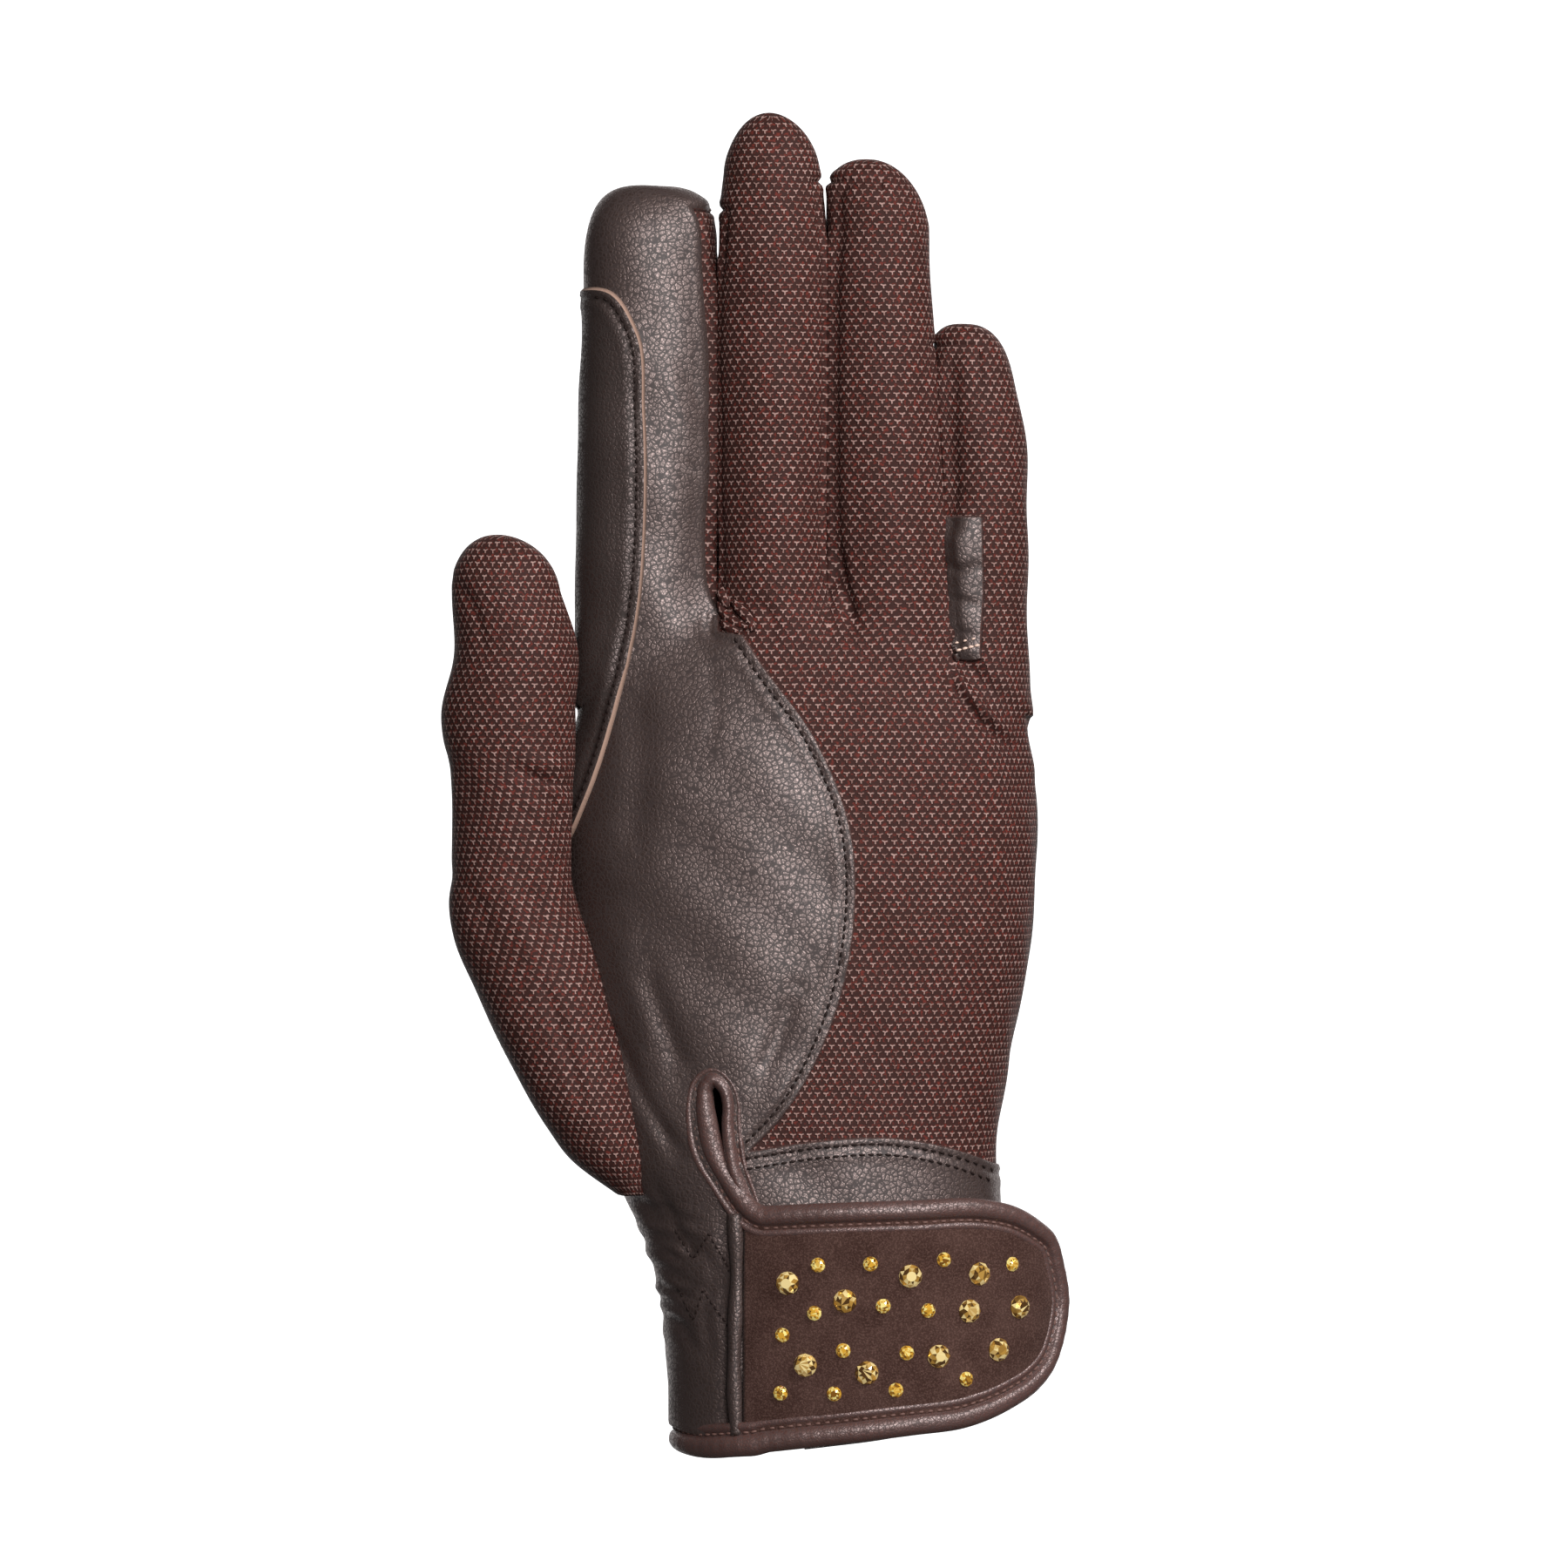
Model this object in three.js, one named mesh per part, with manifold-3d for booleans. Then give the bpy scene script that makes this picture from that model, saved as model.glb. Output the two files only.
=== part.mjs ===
// A riding glove for the right hand, in the form it has when a hand fills it.
// Millimetres. +Z points to the fingertips, -Y is the back of the hand and -X is the thumb's side.
// The origin is the centre of the wrist, level with the closed strap.
import * as THREE from "three";
import { mergeVertices } from "three/addons/utils/BufferGeometryUtils.js";
import Module from "manifold-3d";

const wasm = await Module();
wasm.setup();

// Driving sizes of the glove
const wall = 1.2; // leather and knit
const seamGap = 0.3; // between pieces that are sewn edge to edge
const handLength = 152; // hem to the highest crotch
const hemDepth = 25; // hem below the wrist's centre
const palmWidth = 84;
const palmDepth = 32;
const palmAxisX = -4;
const crotchDrop = 22; // how far the crotches fall away at the palm's sides
const fingerGap = 0.45;
const middleAxisX = -9;
const sideSeamY = 4; // the seam along the glove's two sides
const far = 400; // cutters reach past the glove

// Sizes of the strap, its edging and the stones
const strapLength = 62.9;
const strapWidth = 43.4;
const strapThickness = 1.8;
const strapStandoff = 2.2; // strap's inner face from the cuff
const strapSeamX = -14;
const strapCrestX = 8;
const strapRadiusOuter = 45; // towards the free end
const strapRadiusInner = 62; // towards the seam
const bindingWidth = 4.4;
const bindingThickness = 2.8;
const loopBindingWidth = 2.6;
const hemBindingHeight = 4.2;
const hemBindingThickness = 1.9;
const hookPadLength = 24;
const hookPadWidth = 22;
const patchThickness = 0.6; // leather laid over leather
const sidePatchGap = 0.3; // under such a patch
const stoneGap = 0.3; // under each stone
const stoneLargeDiameter = 4.1;
const stoneSmallDiameter = 2.6;

// Points in a ring: more on the hand than on a finger
const handSides = 24;
const fingerSides = 12;

// Turns a table into rows with named columns.
function table(columns, rows) {
  return rows.map((row) => Object.fromEntries(columns.map((name, i) => [name, row[i]])));
}

// A section is an oval whose front and back bulge differ. Lengths are shares of the body's own
// length, width and depth; side is the height of the widest line, and dome the fall towards the sides.
const handColumns = ["along", "centre", "half", "front", "back", "side", "dome"];
const fingerColumns = ["along", "centre", "half", "front", "back"];

const hand = {
  axisX: palmAxisX,
  axisY: 0,
  baseZ: -hemDepth,
  length: handLength,
  width: palmWidth,
  depth: palmDepth,
  squareness: 2.4,
  sides: handSides,
  rows: table(handColumns, [
    [-0.1, 0.108, 0.375, 0.58, 0.58, 0.0, 0],
    [0.112, 0.0915, 0.3725, 0.575, 0.575, 0.0, 0],
    [0.195, 0.0725, 0.3705, 0.565, 0.565, 0.0, 0],
    [0.276, 0.038, 0.383, 0.55, 0.53, 0.03, 0],
    [0.36, 0.0, 0.415, 0.535, 0.52, 0.08, 0],
    [0.46, -0.005, 0.446, 0.52, 0.525, 0.13, 0],
    [0.603, 0.0, 0.488, 0.5, 0.55, 0.16, 0],
    [0.7, -0.001, 0.499, 0.48, 0.535, 0.17, 0.1],
    [0.787, 0.0, 0.5, 0.455, 0.5, 0.17, 0.35],
    [0.868, -0.0005, 0.497, 0.41, 0.44, 0.15, 0.6],
    [0.928, 0.0, 0.488, 0.34, 0.37, 0.12, 0.8],
    [0.975, -0.0025, 0.455, 0.25, 0.26, 0.08, 0.95],
    [1.0, 0.0, 0.42, 0.12, 0.12, 0.0, 1],
  ]),
};

function rootHeight(share) {
  return -hemDepth + share * handLength;
}

const fingers = {
  index: {
    axisY: 2.5,
    baseZ: rootHeight(0.974),
    length: 77.7,
    width: 24.2,
    depth: 19,
    squareness: 2.3,
    tipPower: 3,
    tipShift: 0.005,
    rows: table(fingerColumns, [
      [-0.36, 0.062, 0.535, 0.47, 0.47],
      [-0.1, 0.05, 0.552, 0.49, 0.49],
      [0.03, 0.005, 0.495, 0.5, 0.5],
      [0.476, 0.019, 0.481, 0.49, 0.49],
      [0.63, 0.021, 0.465, 0.475, 0.475],
      [0.83, 0.018, 0.463, 0.43, 0.44],
    ]),
  },
  middle: {
    axisY: 0,
    baseZ: rootHeight(1.0),
    length: 86.9,
    width: 18.8,
    depth: 18.5,
    squareness: 2.1,
    tipPower: 1.9,
    tipShift: -0.01,
    rows: table(fingerColumns, [
      [-0.368, 0.025, 0.555, 0.48, 0.48],
      [-0.138, 0.0325, 0.5675, 0.49, 0.49],
      [-0.035, 0.04, 0.52, 0.5, 0.5],
      [0.04, 0.01, 0.49, 0.5, 0.5],
      [0.38, 0.005, 0.495, 0.5, 0.5],
      [0.696, 0.0025, 0.4975, 0.47, 0.48],
      [0.8, 0.0, 0.48, 0.445, 0.45],
      [0.875, -0.0085, 0.4385, 0.4, 0.41],
    ]),
  },
  ring: {
    axisY: 0.5,
    baseZ: rootHeight(1.0),
    length: 78.7,
    width: 18.8,
    depth: 18,
    squareness: 2.1,
    tipPower: 2.3,
    tipShift: -0.12,
    rows: table(fingerColumns, [
      [-0.407, 0.03, 0.63, 0.48, 0.48],
      [-0.152, 0.045, 0.635, 0.49, 0.49],
      [0.04, 0.0715, 0.5665, 0.5, 0.5],
      [0.178, 0.053, 0.548, 0.5, 0.5],
      [0.419, 0.021, 0.516, 0.5, 0.5],
      [0.572, 0.0, 0.495, 0.49, 0.49],
      [0.849, -0.03, 0.466, 0.43, 0.44],
    ]),
  },
  little: {
    axisY: 2.5,
    baseZ: rootHeight(0.932),
    length: 60,
    width: 15.2,
    depth: 16.5,
    squareness: 2.1,
    tipPower: 2.6,
    tipShift: -0.13,
    rows: table(fingerColumns, [
      [-0.53, 0.053, 0.547, 0.47, 0.47],
      [-0.195, 0.06, 0.52, 0.49, 0.49],
      [-0.062, 0.135, 0.431, 0.5, 0.5],
      [0.15, 0.117, 0.429, 0.5, 0.5],
      [0.405, 0.0855, 0.4605, 0.5, 0.5],
      [0.638, 0.0465, 0.4865, 0.48, 0.48],
      [0.82, -0.045, 0.455, 0.43, 0.44],
    ]),
  },
};

// The four fingers stand side by side with a named gap.
const fingerOrder = ["index", "middle", "ring", "little"];
fingers.middle.axisX = middleAxisX;
fingers.index.axisX = middleAxisX - fingers.middle.width / 2 - fingerGap - fingers.index.width / 2;
fingers.ring.axisX = middleAxisX + fingers.middle.width / 2 + fingerGap + fingers.ring.width / 2;
fingers.little.axisX = fingers.ring.axisX + (fingers.ring.width + fingers.little.width) / 2 + fingerGap;

const thumbClearance = 9.3; // thumb's axis outside the palm's edge
const thumb = {
  axisX: palmAxisX - palmWidth / 2 - thumbClearance,
  axisY: -3,
  baseZ: rootHeight(0.33),
  length: 113.7,
  width: 22,
  depth: 21,
  squareness: 2.1,
  tipPower: 2.0,
  tipShift: -0.06,
  rows: table(fingerColumns, [
    [-0.03, 1.0, 0.15, 0.3, 0.38],
    [0.026, 0.809, 0.341, 0.5, 0.58],
    [0.079, 0.686, 0.418, 0.56, 0.66],
    [0.185, 0.468, 0.5, 0.56, 0.68],
    [0.281, 0.27, 0.539, 0.54, 0.64],
    [0.367, 0.093, 0.557, 0.52, 0.58],
    [0.422, 0.016, 0.525, 0.5, 0.53],
    [0.475, 0.0045, 0.491, 0.49, 0.5],
    [0.612, 0.006, 0.5, 0.48, 0.49],
    [0.721, -0.022, 0.536, 0.5, 0.5],
    [0.827, 0.03, 0.49, 0.48, 0.48],
    [0.912, -0.043, 0.432, 0.43, 0.43],
  ]),
};
for (const body of [...Object.values(fingers), thumb]) body.sides = fingerSides;

function signedPower(value, power) {
  return Math.sign(value) * Math.pow(Math.abs(value), power);
}

// A point of a body's surface at an angle round it, moved in by inset, shrunk and shifted at a rounded tip.
function sectionPoint(body, row, angle, inset, z, shrink = 1, shift = 0) {
  const power = 2 / body.squareness;
  const sideY = (row.side ?? 0) * body.depth;
  const half = (row.half * body.width - inset) * shrink;
  const front = (row.front * body.depth + sideY - inset) * shrink;
  const back = (row.back * body.depth - sideY - inset) * shrink;
  const x = body.axisX + (row.centre + shift) * body.width + half * signedPower(Math.cos(angle), power);
  const sine = signedPower(Math.sin(angle), power);
  const y = body.axisY + sideY + (sine > 0 ? back : front) * sine;
  const fall = (row.dome ?? 0) * crotchDrop * ((x - palmAxisX) / (palmWidth / 2)) ** 2;
  return new THREE.Vector3(x, y, z - fall);
}

function sectionRing(body, row, inset, z, shrink, shift) {
  return Array.from({ length: body.sides }, (_, i) =>
    sectionPoint(body, row, (2 * Math.PI * i) / body.sides, inset, z, shrink, shift),
  );
}

const tipSteps = [0.45, 0.8, 0.97];

// All rings of a body from its base to its tip.
function bodyRings(body, inset) {
  const rings = body.rows.map((row) => sectionRing(body, row, inset, body.baseZ + row.along * body.length));
  if (!body.tipPower) return rings;
  const shoulder = body.rows.at(-1);
  const shoulderZ = body.baseZ + shoulder.along * body.length;
  const tipHeight = body.baseZ + body.length - inset - shoulderZ;
  for (const step of tipSteps) {
    const z = shoulderZ + step * tipHeight;
    const shrink = Math.pow(1 - Math.pow(step, body.tipPower), 1 / body.tipPower);
    rings.push(sectionRing(body, shoulder, inset, z, shrink, body.tipShift * step));
  }
  return rings;
}

// A closed body through rings of equal length, each end closed straight across from front to back.
function loft(rings) {
  const sides = rings[0].length;
  const triangles = [];
  for (let k = 0; k < rings.length - 1; k++) {
    const low = k * sides;
    const high = low + sides;
    for (let i = 0; i < sides; i++) {
      const next = (i + 1) % sides;
      triangles.push(low + i, low + next, high + next, low + i, high + next, high + i);
    }
  }
  const lid = (rings.length - 1) * sides;
  for (let i = 0; i < sides / 2; i++) {
    const near = (sides - i) % sides;
    const nearNext = sides - i - 1;
    if (i > 0) triangles.push(lid + i, lid + nearNext, lid + near, i, near, nearNext);
    if (i + 1 < nearNext) triangles.push(lid + i, lid + i + 1, lid + nearNext, i, nearNext, i + 1);
  }
  const geometry = new THREE.BufferGeometry().setFromPoints(rings.flat());
  geometry.setIndex(triangles);
  return geometry;
}

function solidOf(geometry) {
  const bare = geometry.clone();
  bare.deleteAttribute("normal");
  bare.deleteAttribute("uv");
  const merged = mergeVertices(bare, 1e-4);
  return new wasm.Manifold(
    new wasm.Mesh({
      numProp: 3,
      vertProperties: new Float32Array(merged.attributes.position.array),
      triVerts: new Uint32Array(merged.index.array),
    }),
  );
}

function geometryOf(solid) {
  const mesh = solid.getMesh();
  const geometry = new THREE.BufferGeometry();
  geometry.setAttribute("position", new THREE.BufferAttribute(mesh.vertProperties, 3));
  geometry.setIndex(new THREE.BufferAttribute(mesh.triVerts, 1));
  return geometry;
}

function unite(solids) {
  return solids.reduce((sum, solid) => sum.add(solid));
}

// The piece itself, without crumbs that a cutter leaves beside it.
function largestOf(geometry) {
  const merged = mergeVertices(geometry, 1e-4);
  const index = merged.index.array;
  const group = Array.from({ length: merged.attributes.position.count }, (_, i) => i);
  const rootOf = (i) => {
    while (group[i] !== i) {
      group[i] = group[group[i]];
      i = group[i];
    }
    return i;
  };
  for (let t = 0; t < index.length; t += 3) {
    group[rootOf(index[t + 1])] = rootOf(index[t]);
    group[rootOf(index[t + 2])] = rootOf(index[t]);
  }
  const counts = new Map();
  for (let t = 0; t < index.length; t += 3) {
    const root = rootOf(index[t]);
    counts.set(root, (counts.get(root) ?? 0) + 1);
  }
  const best = [...counts].reduce((most, entry) => (entry[1] > most[1] ? entry : most))[0];
  const kept = [];
  for (let t = 0; t < index.length; t += 3) {
    if (rootOf(index[t]) === best) kept.push(index[t], index[t + 1], index[t + 2]);
  }
  merged.setIndex(kept);
  return merged;
}

function box(lowX, highX, lowY, highY, lowZ, highZ) {
  const geometry = new THREE.BoxGeometry(highX - lowX, highY - lowY, highZ - lowZ);
  geometry.translate((lowX + highX) / 2, (lowY + highY) / 2, (lowZ + highZ) / 2);
  return solidOf(geometry);
}

// An outline in the front view, as [x, z], pushed through from lowY to highY.
function frontPrism(outline, lowY, highY) {
  const shape = new THREE.Shape(outline.map(([x, z]) => new THREE.Vector2(x, z)));
  const geometry = new THREE.ExtrudeGeometry(shape, { depth: highY - lowY, bevelEnabled: false, steps: 1 });
  geometry.rotateX(Math.PI / 2);
  geometry.translate(0, highY, 0);
  return solidOf(geometry);
}

// An outline in the top view, as [x, y], raised from lowZ to highZ.
function topPrism(outline, lowZ, highZ) {
  const shape = new THREE.Shape(outline.map(([x, y]) => new THREE.Vector2(x, y)));
  const geometry = new THREE.ExtrudeGeometry(shape, { depth: highZ - lowZ, bevelEnabled: false, steps: 1 });
  geometry.translate(0, 0, lowZ);
  return solidOf(geometry);
}

// A smooth line in the front view, its points as shares of the palm's width and the hand's length
function frontCurve(shares, steps) {
  const points = shares.map(
    ([across, along]) => new THREE.Vector2(palmAxisX + across * palmWidth, rootHeight(along)),
  );
  return new THREE.SplineCurve(points).getSpacedPoints(steps).map((point) => [point.x, point.y]);
}

// The line moved to its right-hand side, looking along it.
function offsetLine(line, distance) {
  return line.map(([x, z], i) => {
    const [beforeX, beforeZ] = line[Math.max(0, i - 1)];
    const [afterX, afterZ] = line[Math.min(line.length - 1, i + 1)];
    const run = new THREE.Vector2(afterX - beforeX, afterZ - beforeZ).normalize();
    return [x + run.y * distance, z - run.x * distance];
  });
}

// The hand's outer surface on the back of the hand, at a point of the front view.
function backOfHandY(x, z) {
  const along = (z - hand.baseZ) / hand.length;
  const upper = Math.max(1, hand.rows.findIndex((row) => row.along >= along));
  const [a, b] = [hand.rows[upper - 1], hand.rows[upper]];
  const mix = (along - a.along) / (b.along - a.along);
  const at = (name) => a[name] + (b[name] - a[name]) * mix;
  const fromMiddle = Math.abs(x - hand.axisX - at("centre") * hand.width);
  const across = Math.min(0.999, fromMiddle / (at("half") * hand.width));
  const rise = Math.pow(1 - Math.pow(across, hand.squareness), 1 / hand.squareness);
  return at("side") * hand.depth - (at("front") + at("side")) * hand.depth * rise;
}

// The shell, first as the outer form and the hollow inside it
function fingersBody(inset) {
  return unite(fingerOrder.map((name) => solidOf(loft(bodyRings(fingers[name], inset)))));
}
const handOuter = solidOf(loft(bodyRings(hand, 0))).add(fingersBody(0));
const handInner = solidOf(loft(bodyRings(hand, wall))).add(fingersBody(wall));

// Above its fork the thumb stands free of the hand, so its side is flattened there.
const forkZ = rootHeight(0.64);
const aboveFork = box(-far, far, -far, far, forkZ, far);
function handGrown(grow) {
  return solidOf(loft(bodyRings(hand, -grow))).add(solidOf(loft(bodyRings(fingers.index, -grow))));
}
const thumbKeepOff = sidePatchGap + patchThickness + seamGap;
function thumbBody(inset) {
  const keepOff = handGrown(thumbKeepOff + inset).intersect(aboveFork);
  return solidOf(loft(bodyRings(thumb, inset))).subtract(keepOff);
}
const thumbOuter = thumbBody(0);
const thumbGrown = thumbBody(-seamGap);
const hollow = handInner.add(thumbBody(wall));
const handShell = handOuter.subtract(hollow).subtract(thumbGrown);
const thumbShell = thumbOuter.subtract(hollow);

// The strip of knit between two fingers, seen from above: it reaches further forward on the next finger.
const stripFrontNear = 3;
const stripFrontFar = 6;
const stripBack = 5;
const stripTipMargin = 4;
const stripRootMargin = 6;
function stripRegion(left, right, grow) {
  const lowZ = Math.min(left.baseZ, right.baseZ) - stripRootMargin;
  const highZ = Math.min(left.baseZ + left.length, right.baseZ + right.length) - stripTipMargin;
  const outline = [
    [left.axisX - grow, left.axisY - stripFrontNear - grow],
    [right.axisX + grow, right.axisY - stripFrontFar - grow],
    [right.axisX + grow, right.axisY + stripBack + grow],
    [left.axisX - grow, left.axisY + stripBack + grow],
  ];
  return topPrism(outline, lowZ - grow, highZ + grow);
}
const strips = fingerOrder.slice(0, -1).map((name, i) => {
  const left = fingers[name];
  const right = fingers[fingerOrder[i + 1]];
  return {
    name: `fourchette_${name}_${fingerOrder[i + 1]}`,
    region: stripRegion(left, right, 0),
    grown: stripRegion(left, right, seamGap),
    gapX: (left.axisX + left.width / 2 + right.axisX - right.width / 2) / 2,
    left,
    right,
  };
});
const allStrips = unite(strips.map((strip) => strip.grown));
const { gapX } = strips[0];

// Seam lines of the back, in the front view, from the crotch of index and middle finger down to the cuff
const crescentEdge = frontCurve(
  [
    [-0.142, 0.995],
    [-0.09, 0.934],
    [0.029, 0.837],
    [0.104, 0.726],
    [0.11, 0.633],
    [0.057, 0.501],
    [-0.045, 0.399],
    [-0.113, 0.36],
  ],
  22,
);
const bandEdge = frontCurve(
  [
    [-0.113, 0.36],
    [0.05, 0.373],
    [0.2, 0.375],
    [0.33, 0.36],
    [0.44, 0.335],
  ],
  12,
);
const sidePatchEdge = frontCurve(
  [
    [-0.47, 1.365],
    [-0.405, 1.36],
    [-0.35, 1.315],
    [-0.334, 1.22],
    [-0.332, 1.1],
    [-0.345, 0.995],
    [-0.385, 0.885],
    [-0.45, 0.77],
    [-0.5, 0.71],
  ],
  24,
);

// The vent that lets the hand in: a slit from the hem up, closed by a round end
const ventTopShare = 0.445; // of the hand's length
const ventAxisX = -19;
const ventTopZ = rootHeight(ventTopShare);

// Where the strap's mid surface runs in the top view, by its distance along the strap from the seam
const cuffFrontY = backOfHandY(strapCrestX, 0);
const strapCrestY = cuffFrontY - strapStandoff - strapThickness / 2;
const strapInnerTurn = Math.asin((strapCrestX - strapSeamX) / strapRadiusInner);
const strapInnerRun = strapRadiusInner * strapInnerTurn;
function strapPoint(along, z, height) {
  const fromCrest = along - strapInnerRun;
  const radius = fromCrest > 0 ? strapRadiusOuter : strapRadiusInner;
  const turn = fromCrest / radius;
  const reach = radius + height;
  return new THREE.Vector3(
    strapCrestX + reach * Math.sin(turn),
    strapCrestY + radius - reach * Math.cos(turn),
    z,
  );
}
function strapNormal(along) {
  return strapPoint(along, 0, 1).sub(strapPoint(along, 0, 0));
}

// Outline of the strap laid flat, as shares of its length and width, from the seam round the free end
const strapOutline = [
  [0.0, 0.466],
  [0.235, 0.485],
  [0.48, 0.496],
  [0.69, 0.496],
  [0.81, 0.455],
  [0.882, 0.402],
  [0.936, 0.348],
  [0.978, 0.220],
  [1.0, 0.066],
  [0.98, -0.077],
  [0.929, -0.218],
  [0.874, -0.288],
  [0.784, -0.356],
  [0.636, -0.429],
  [0.48, -0.456],
  [0.227, -0.500],
  [0.0, -0.540],
];
const strapEdgeSteps = 40;
const strapEdge = new THREE.SplineCurve(
  strapOutline.map(([along, up]) => new THREE.Vector2(along * strapLength, up * strapWidth)),
).getSpacedPoints(strapEdgeSteps);

// The strap's edge moved in by a distance, still laid flat.
function strapInset(distance) {
  const line = strapEdge.map((point) => [point.x, point.y]);
  return offsetLine(line, distance).map(([along, up]) => new THREE.Vector2(along, up));
}

// Height of the strap's outline, moved in by a distance, where it crosses a place along the strap
function strapBounds(distance, along) {
  const line = strapInset(distance);
  const heights = [];
  for (let i = 1; i < line.length; i++) {
    const [a, b] = [line[i - 1], line[i]];
    if ((a.x - along) * (b.x - along) <= 0 && a.x !== b.x) {
      heights.push(a.y + ((along - a.x) / (b.x - a.x)) * (b.y - a.y));
    }
  }
  return [Math.min(...heights), Math.max(...heights)];
}

// A plate bent with the strap, from one place along it to another and between two heights over its middle.
function strapPlate(start, end, boundsAt, low, high, steps) {
  const rings = [];
  for (let k = 0; k <= steps; k++) {
    const along = start + (end - start) * Math.sin((Math.PI / 2) * (k / steps));
    const [bottom, top] = boundsAt(along);
    rings.push([
      strapPoint(along, bottom, high),
      strapPoint(along, bottom, low),
      strapPoint(along, top, low),
      strapPoint(along, top, high),
    ]);
  }
  return solidOf(loft(rings));
}

// An edging: a flattened round section swept through stations with a place, an outward normal and a width.
const bindingSides = 6;
const bindingFullness = 1 / Math.cos(Math.PI / bindingSides); // flat sides reach the full thickness
function edging(stations, grow) {
  const rings = stations.map((station, k) => {
    const before = stations[Math.max(0, k - 1)].place;
    const after = stations[Math.min(stations.length - 1, k + 1)].place;
    const run = after.clone().sub(before).normalize();
    const across = run.clone().cross(station.normal).normalize();
    const out = across.clone().cross(run);
    const halfWidth = station.width / 2 + grow;
    const halfHeight = (station.thickness / 2 + grow) * bindingFullness;
    return Array.from({ length: bindingSides }, (_, i) => {
      const angle = (2 * Math.PI * i) / bindingSides;
      return station.place
        .clone()
        .addScaledVector(across, halfWidth * Math.cos(angle))
        .addScaledVector(out, -halfHeight * Math.sin(angle));
    });
  });
  return solidOf(loft(rings));
}

// Stations spread evenly along a smooth line through the given ones.
function smoothStations(stations, steps) {
  const curve = new THREE.CatmullRomCurve3(stations.map((station) => station.place), false, "centripetal");
  const result = [];
  for (let k = 0; k <= steps; k++) {
    const u = curve.getUtoTmapping(k / steps) * (stations.length - 1);
    const i = Math.min(stations.length - 2, Math.floor(u));
    const mix = u - i;
    const [a, b] = [stations[i], stations[i + 1]];
    result.push({
      place: curve.getPoint(u / (stations.length - 1)),
      normal: a.normal.clone().lerp(b.normal, mix).normalize(),
      width: a.width + (b.width - a.width) * mix,
      thickness: a.thickness + (b.thickness - a.thickness) * mix,
    });
  }
  return result;
}

// Where an edging lies on the wall of the hand, at a point of the front view
function onHand(x, z, width, thickness) {
  const step = 0.5;
  const slopeX = (backOfHandY(x + step, z) - backOfHandY(x - step, z)) / (2 * step);
  const slopeZ = (backOfHandY(x, z + step) - backOfHandY(x, z - step)) / (2 * step);
  const normal = new THREE.Vector3(slopeX, -1, slopeZ).normalize();
  const place = new THREE.Vector3(x, backOfHandY(x, z), z).addScaledVector(normal, -wall / 2);
  return { place, normal, width, thickness };
}

// The vent's edging: up its right side, round the loop and down its left side to the strap,
// as [across, along] from the vent's top, in shares of the vent's height above the strap
const ventHeight = 22;
function ventPoint([across, up]) {
  return [ventAxisX + across * ventHeight, ventTopZ + up * ventHeight];
}
const ventRightSide = [
  [0.17, -0.7],
  [0.145, -0.55],
  [0.125, -0.36],
  [0.125, -0.2],
].map(ventPoint);
const ventLoop = [
  [0.075, -0.05],
  [-0.02, 0.02],
  [-0.11, -0.05],
].map(ventPoint);
const ventLeftSide = [
  [-0.13, -0.18],
  [-0.115, -0.36],
  [-0.07, -0.57],
  [0.035, -0.78],
].map(ventPoint);
const ventStations = [...ventRightSide, ...ventLoop, ...ventLeftSide].map(([x, z]) =>
  onHand(x, z, loopBindingWidth, bindingThickness),
);

// Under the strap the slit runs on to the hem, between these two lines.
const slitRight = [
  [0.29, -1.02],
  [0.45, -1.36],
  [0.57, -1.9],
  [0.58, -4],
].map(ventPoint);
const slitLeft = [
  [0.315, -1.08],
  [0.32, -1.9],
  [0.32, -4],
].map(ventPoint);
const slitMiddle = [
  [0.07, -0.6],
  [0.08, -0.72],
  [0.17, -0.92],
  [0.28, -1.05],
  [0.44, -1.9],
  [0.45, -4],
].map(ventPoint);

// The strap's edging starts a little past the seam, where the vent's edging has risen to the strap.
const turnInRun = 3.5;
const strapStations = strapInset(bindingWidth / 2)
  .map((point) => ({
    place: strapPoint(point.x, point.y, 0),
    normal: strapNormal(point.x),
    width: bindingWidth,
    thickness: bindingThickness,
  }))
  .filter((station) => station.place.x > strapSeamX + turnInRun);

// The hem, as [across, height] in shares of the palm's width and the hem's depth
const hemCurve = new THREE.SplineCurve(
  [
    [-0.3, -0.78],
    [-0.262, -0.84],
    [-0.22, -0.87],
    [-0.12, -0.85],
    [0.05, -0.79],
    [0.2, -0.72],
    [0.33, -0.61],
    [0.44, -0.48],
    [0.5, -0.4],
  ].map(([across, height]) => new THREE.Vector2(palmAxisX + across * palmWidth, height * hemDepth)),
).getSpacedPoints(30);
function hemZ(x) {
  const i = Math.max(1, hemCurve.findIndex((point) => point.x >= x));
  const [a, b] = [hemCurve[i - 1], hemCurve[i]];
  return a.y + ((x - a.x) / (b.x - a.x)) * (b.y - a.y);
}
const hemTurnStart = 0.65; // on the front, at the strap's seam
const hemThinTurn = 0.4; // from the thumb's side on it is thinner
const hemTurnEnd = -0.285; // all the way round, under the strap
const hemTurnGap = 0.008;
const hemTurnRun = 0.014;
const hemSteps = 36;
function hemStation(turn) {
  const step = 0.002;
  const at = (share) => sectionPoint(hand, hand.rows[0], 2 * Math.PI * share, wall / 2, 0);
  const run = at(turn + step).sub(at(turn - step));
  const place = at(turn);
  place.z = hemZ(place.x);
  const thick = Math.max(0, (turn - hemThinTurn) / (hemTurnStart - hemThinTurn));
  return {
    place,
    normal: new THREE.Vector3(run.y, -run.x, 0).normalize(),
    width: hemBindingHeight,
    thickness: THREE.MathUtils.lerp(hemBindingThickness, bindingThickness, thick),
  };
}
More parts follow.
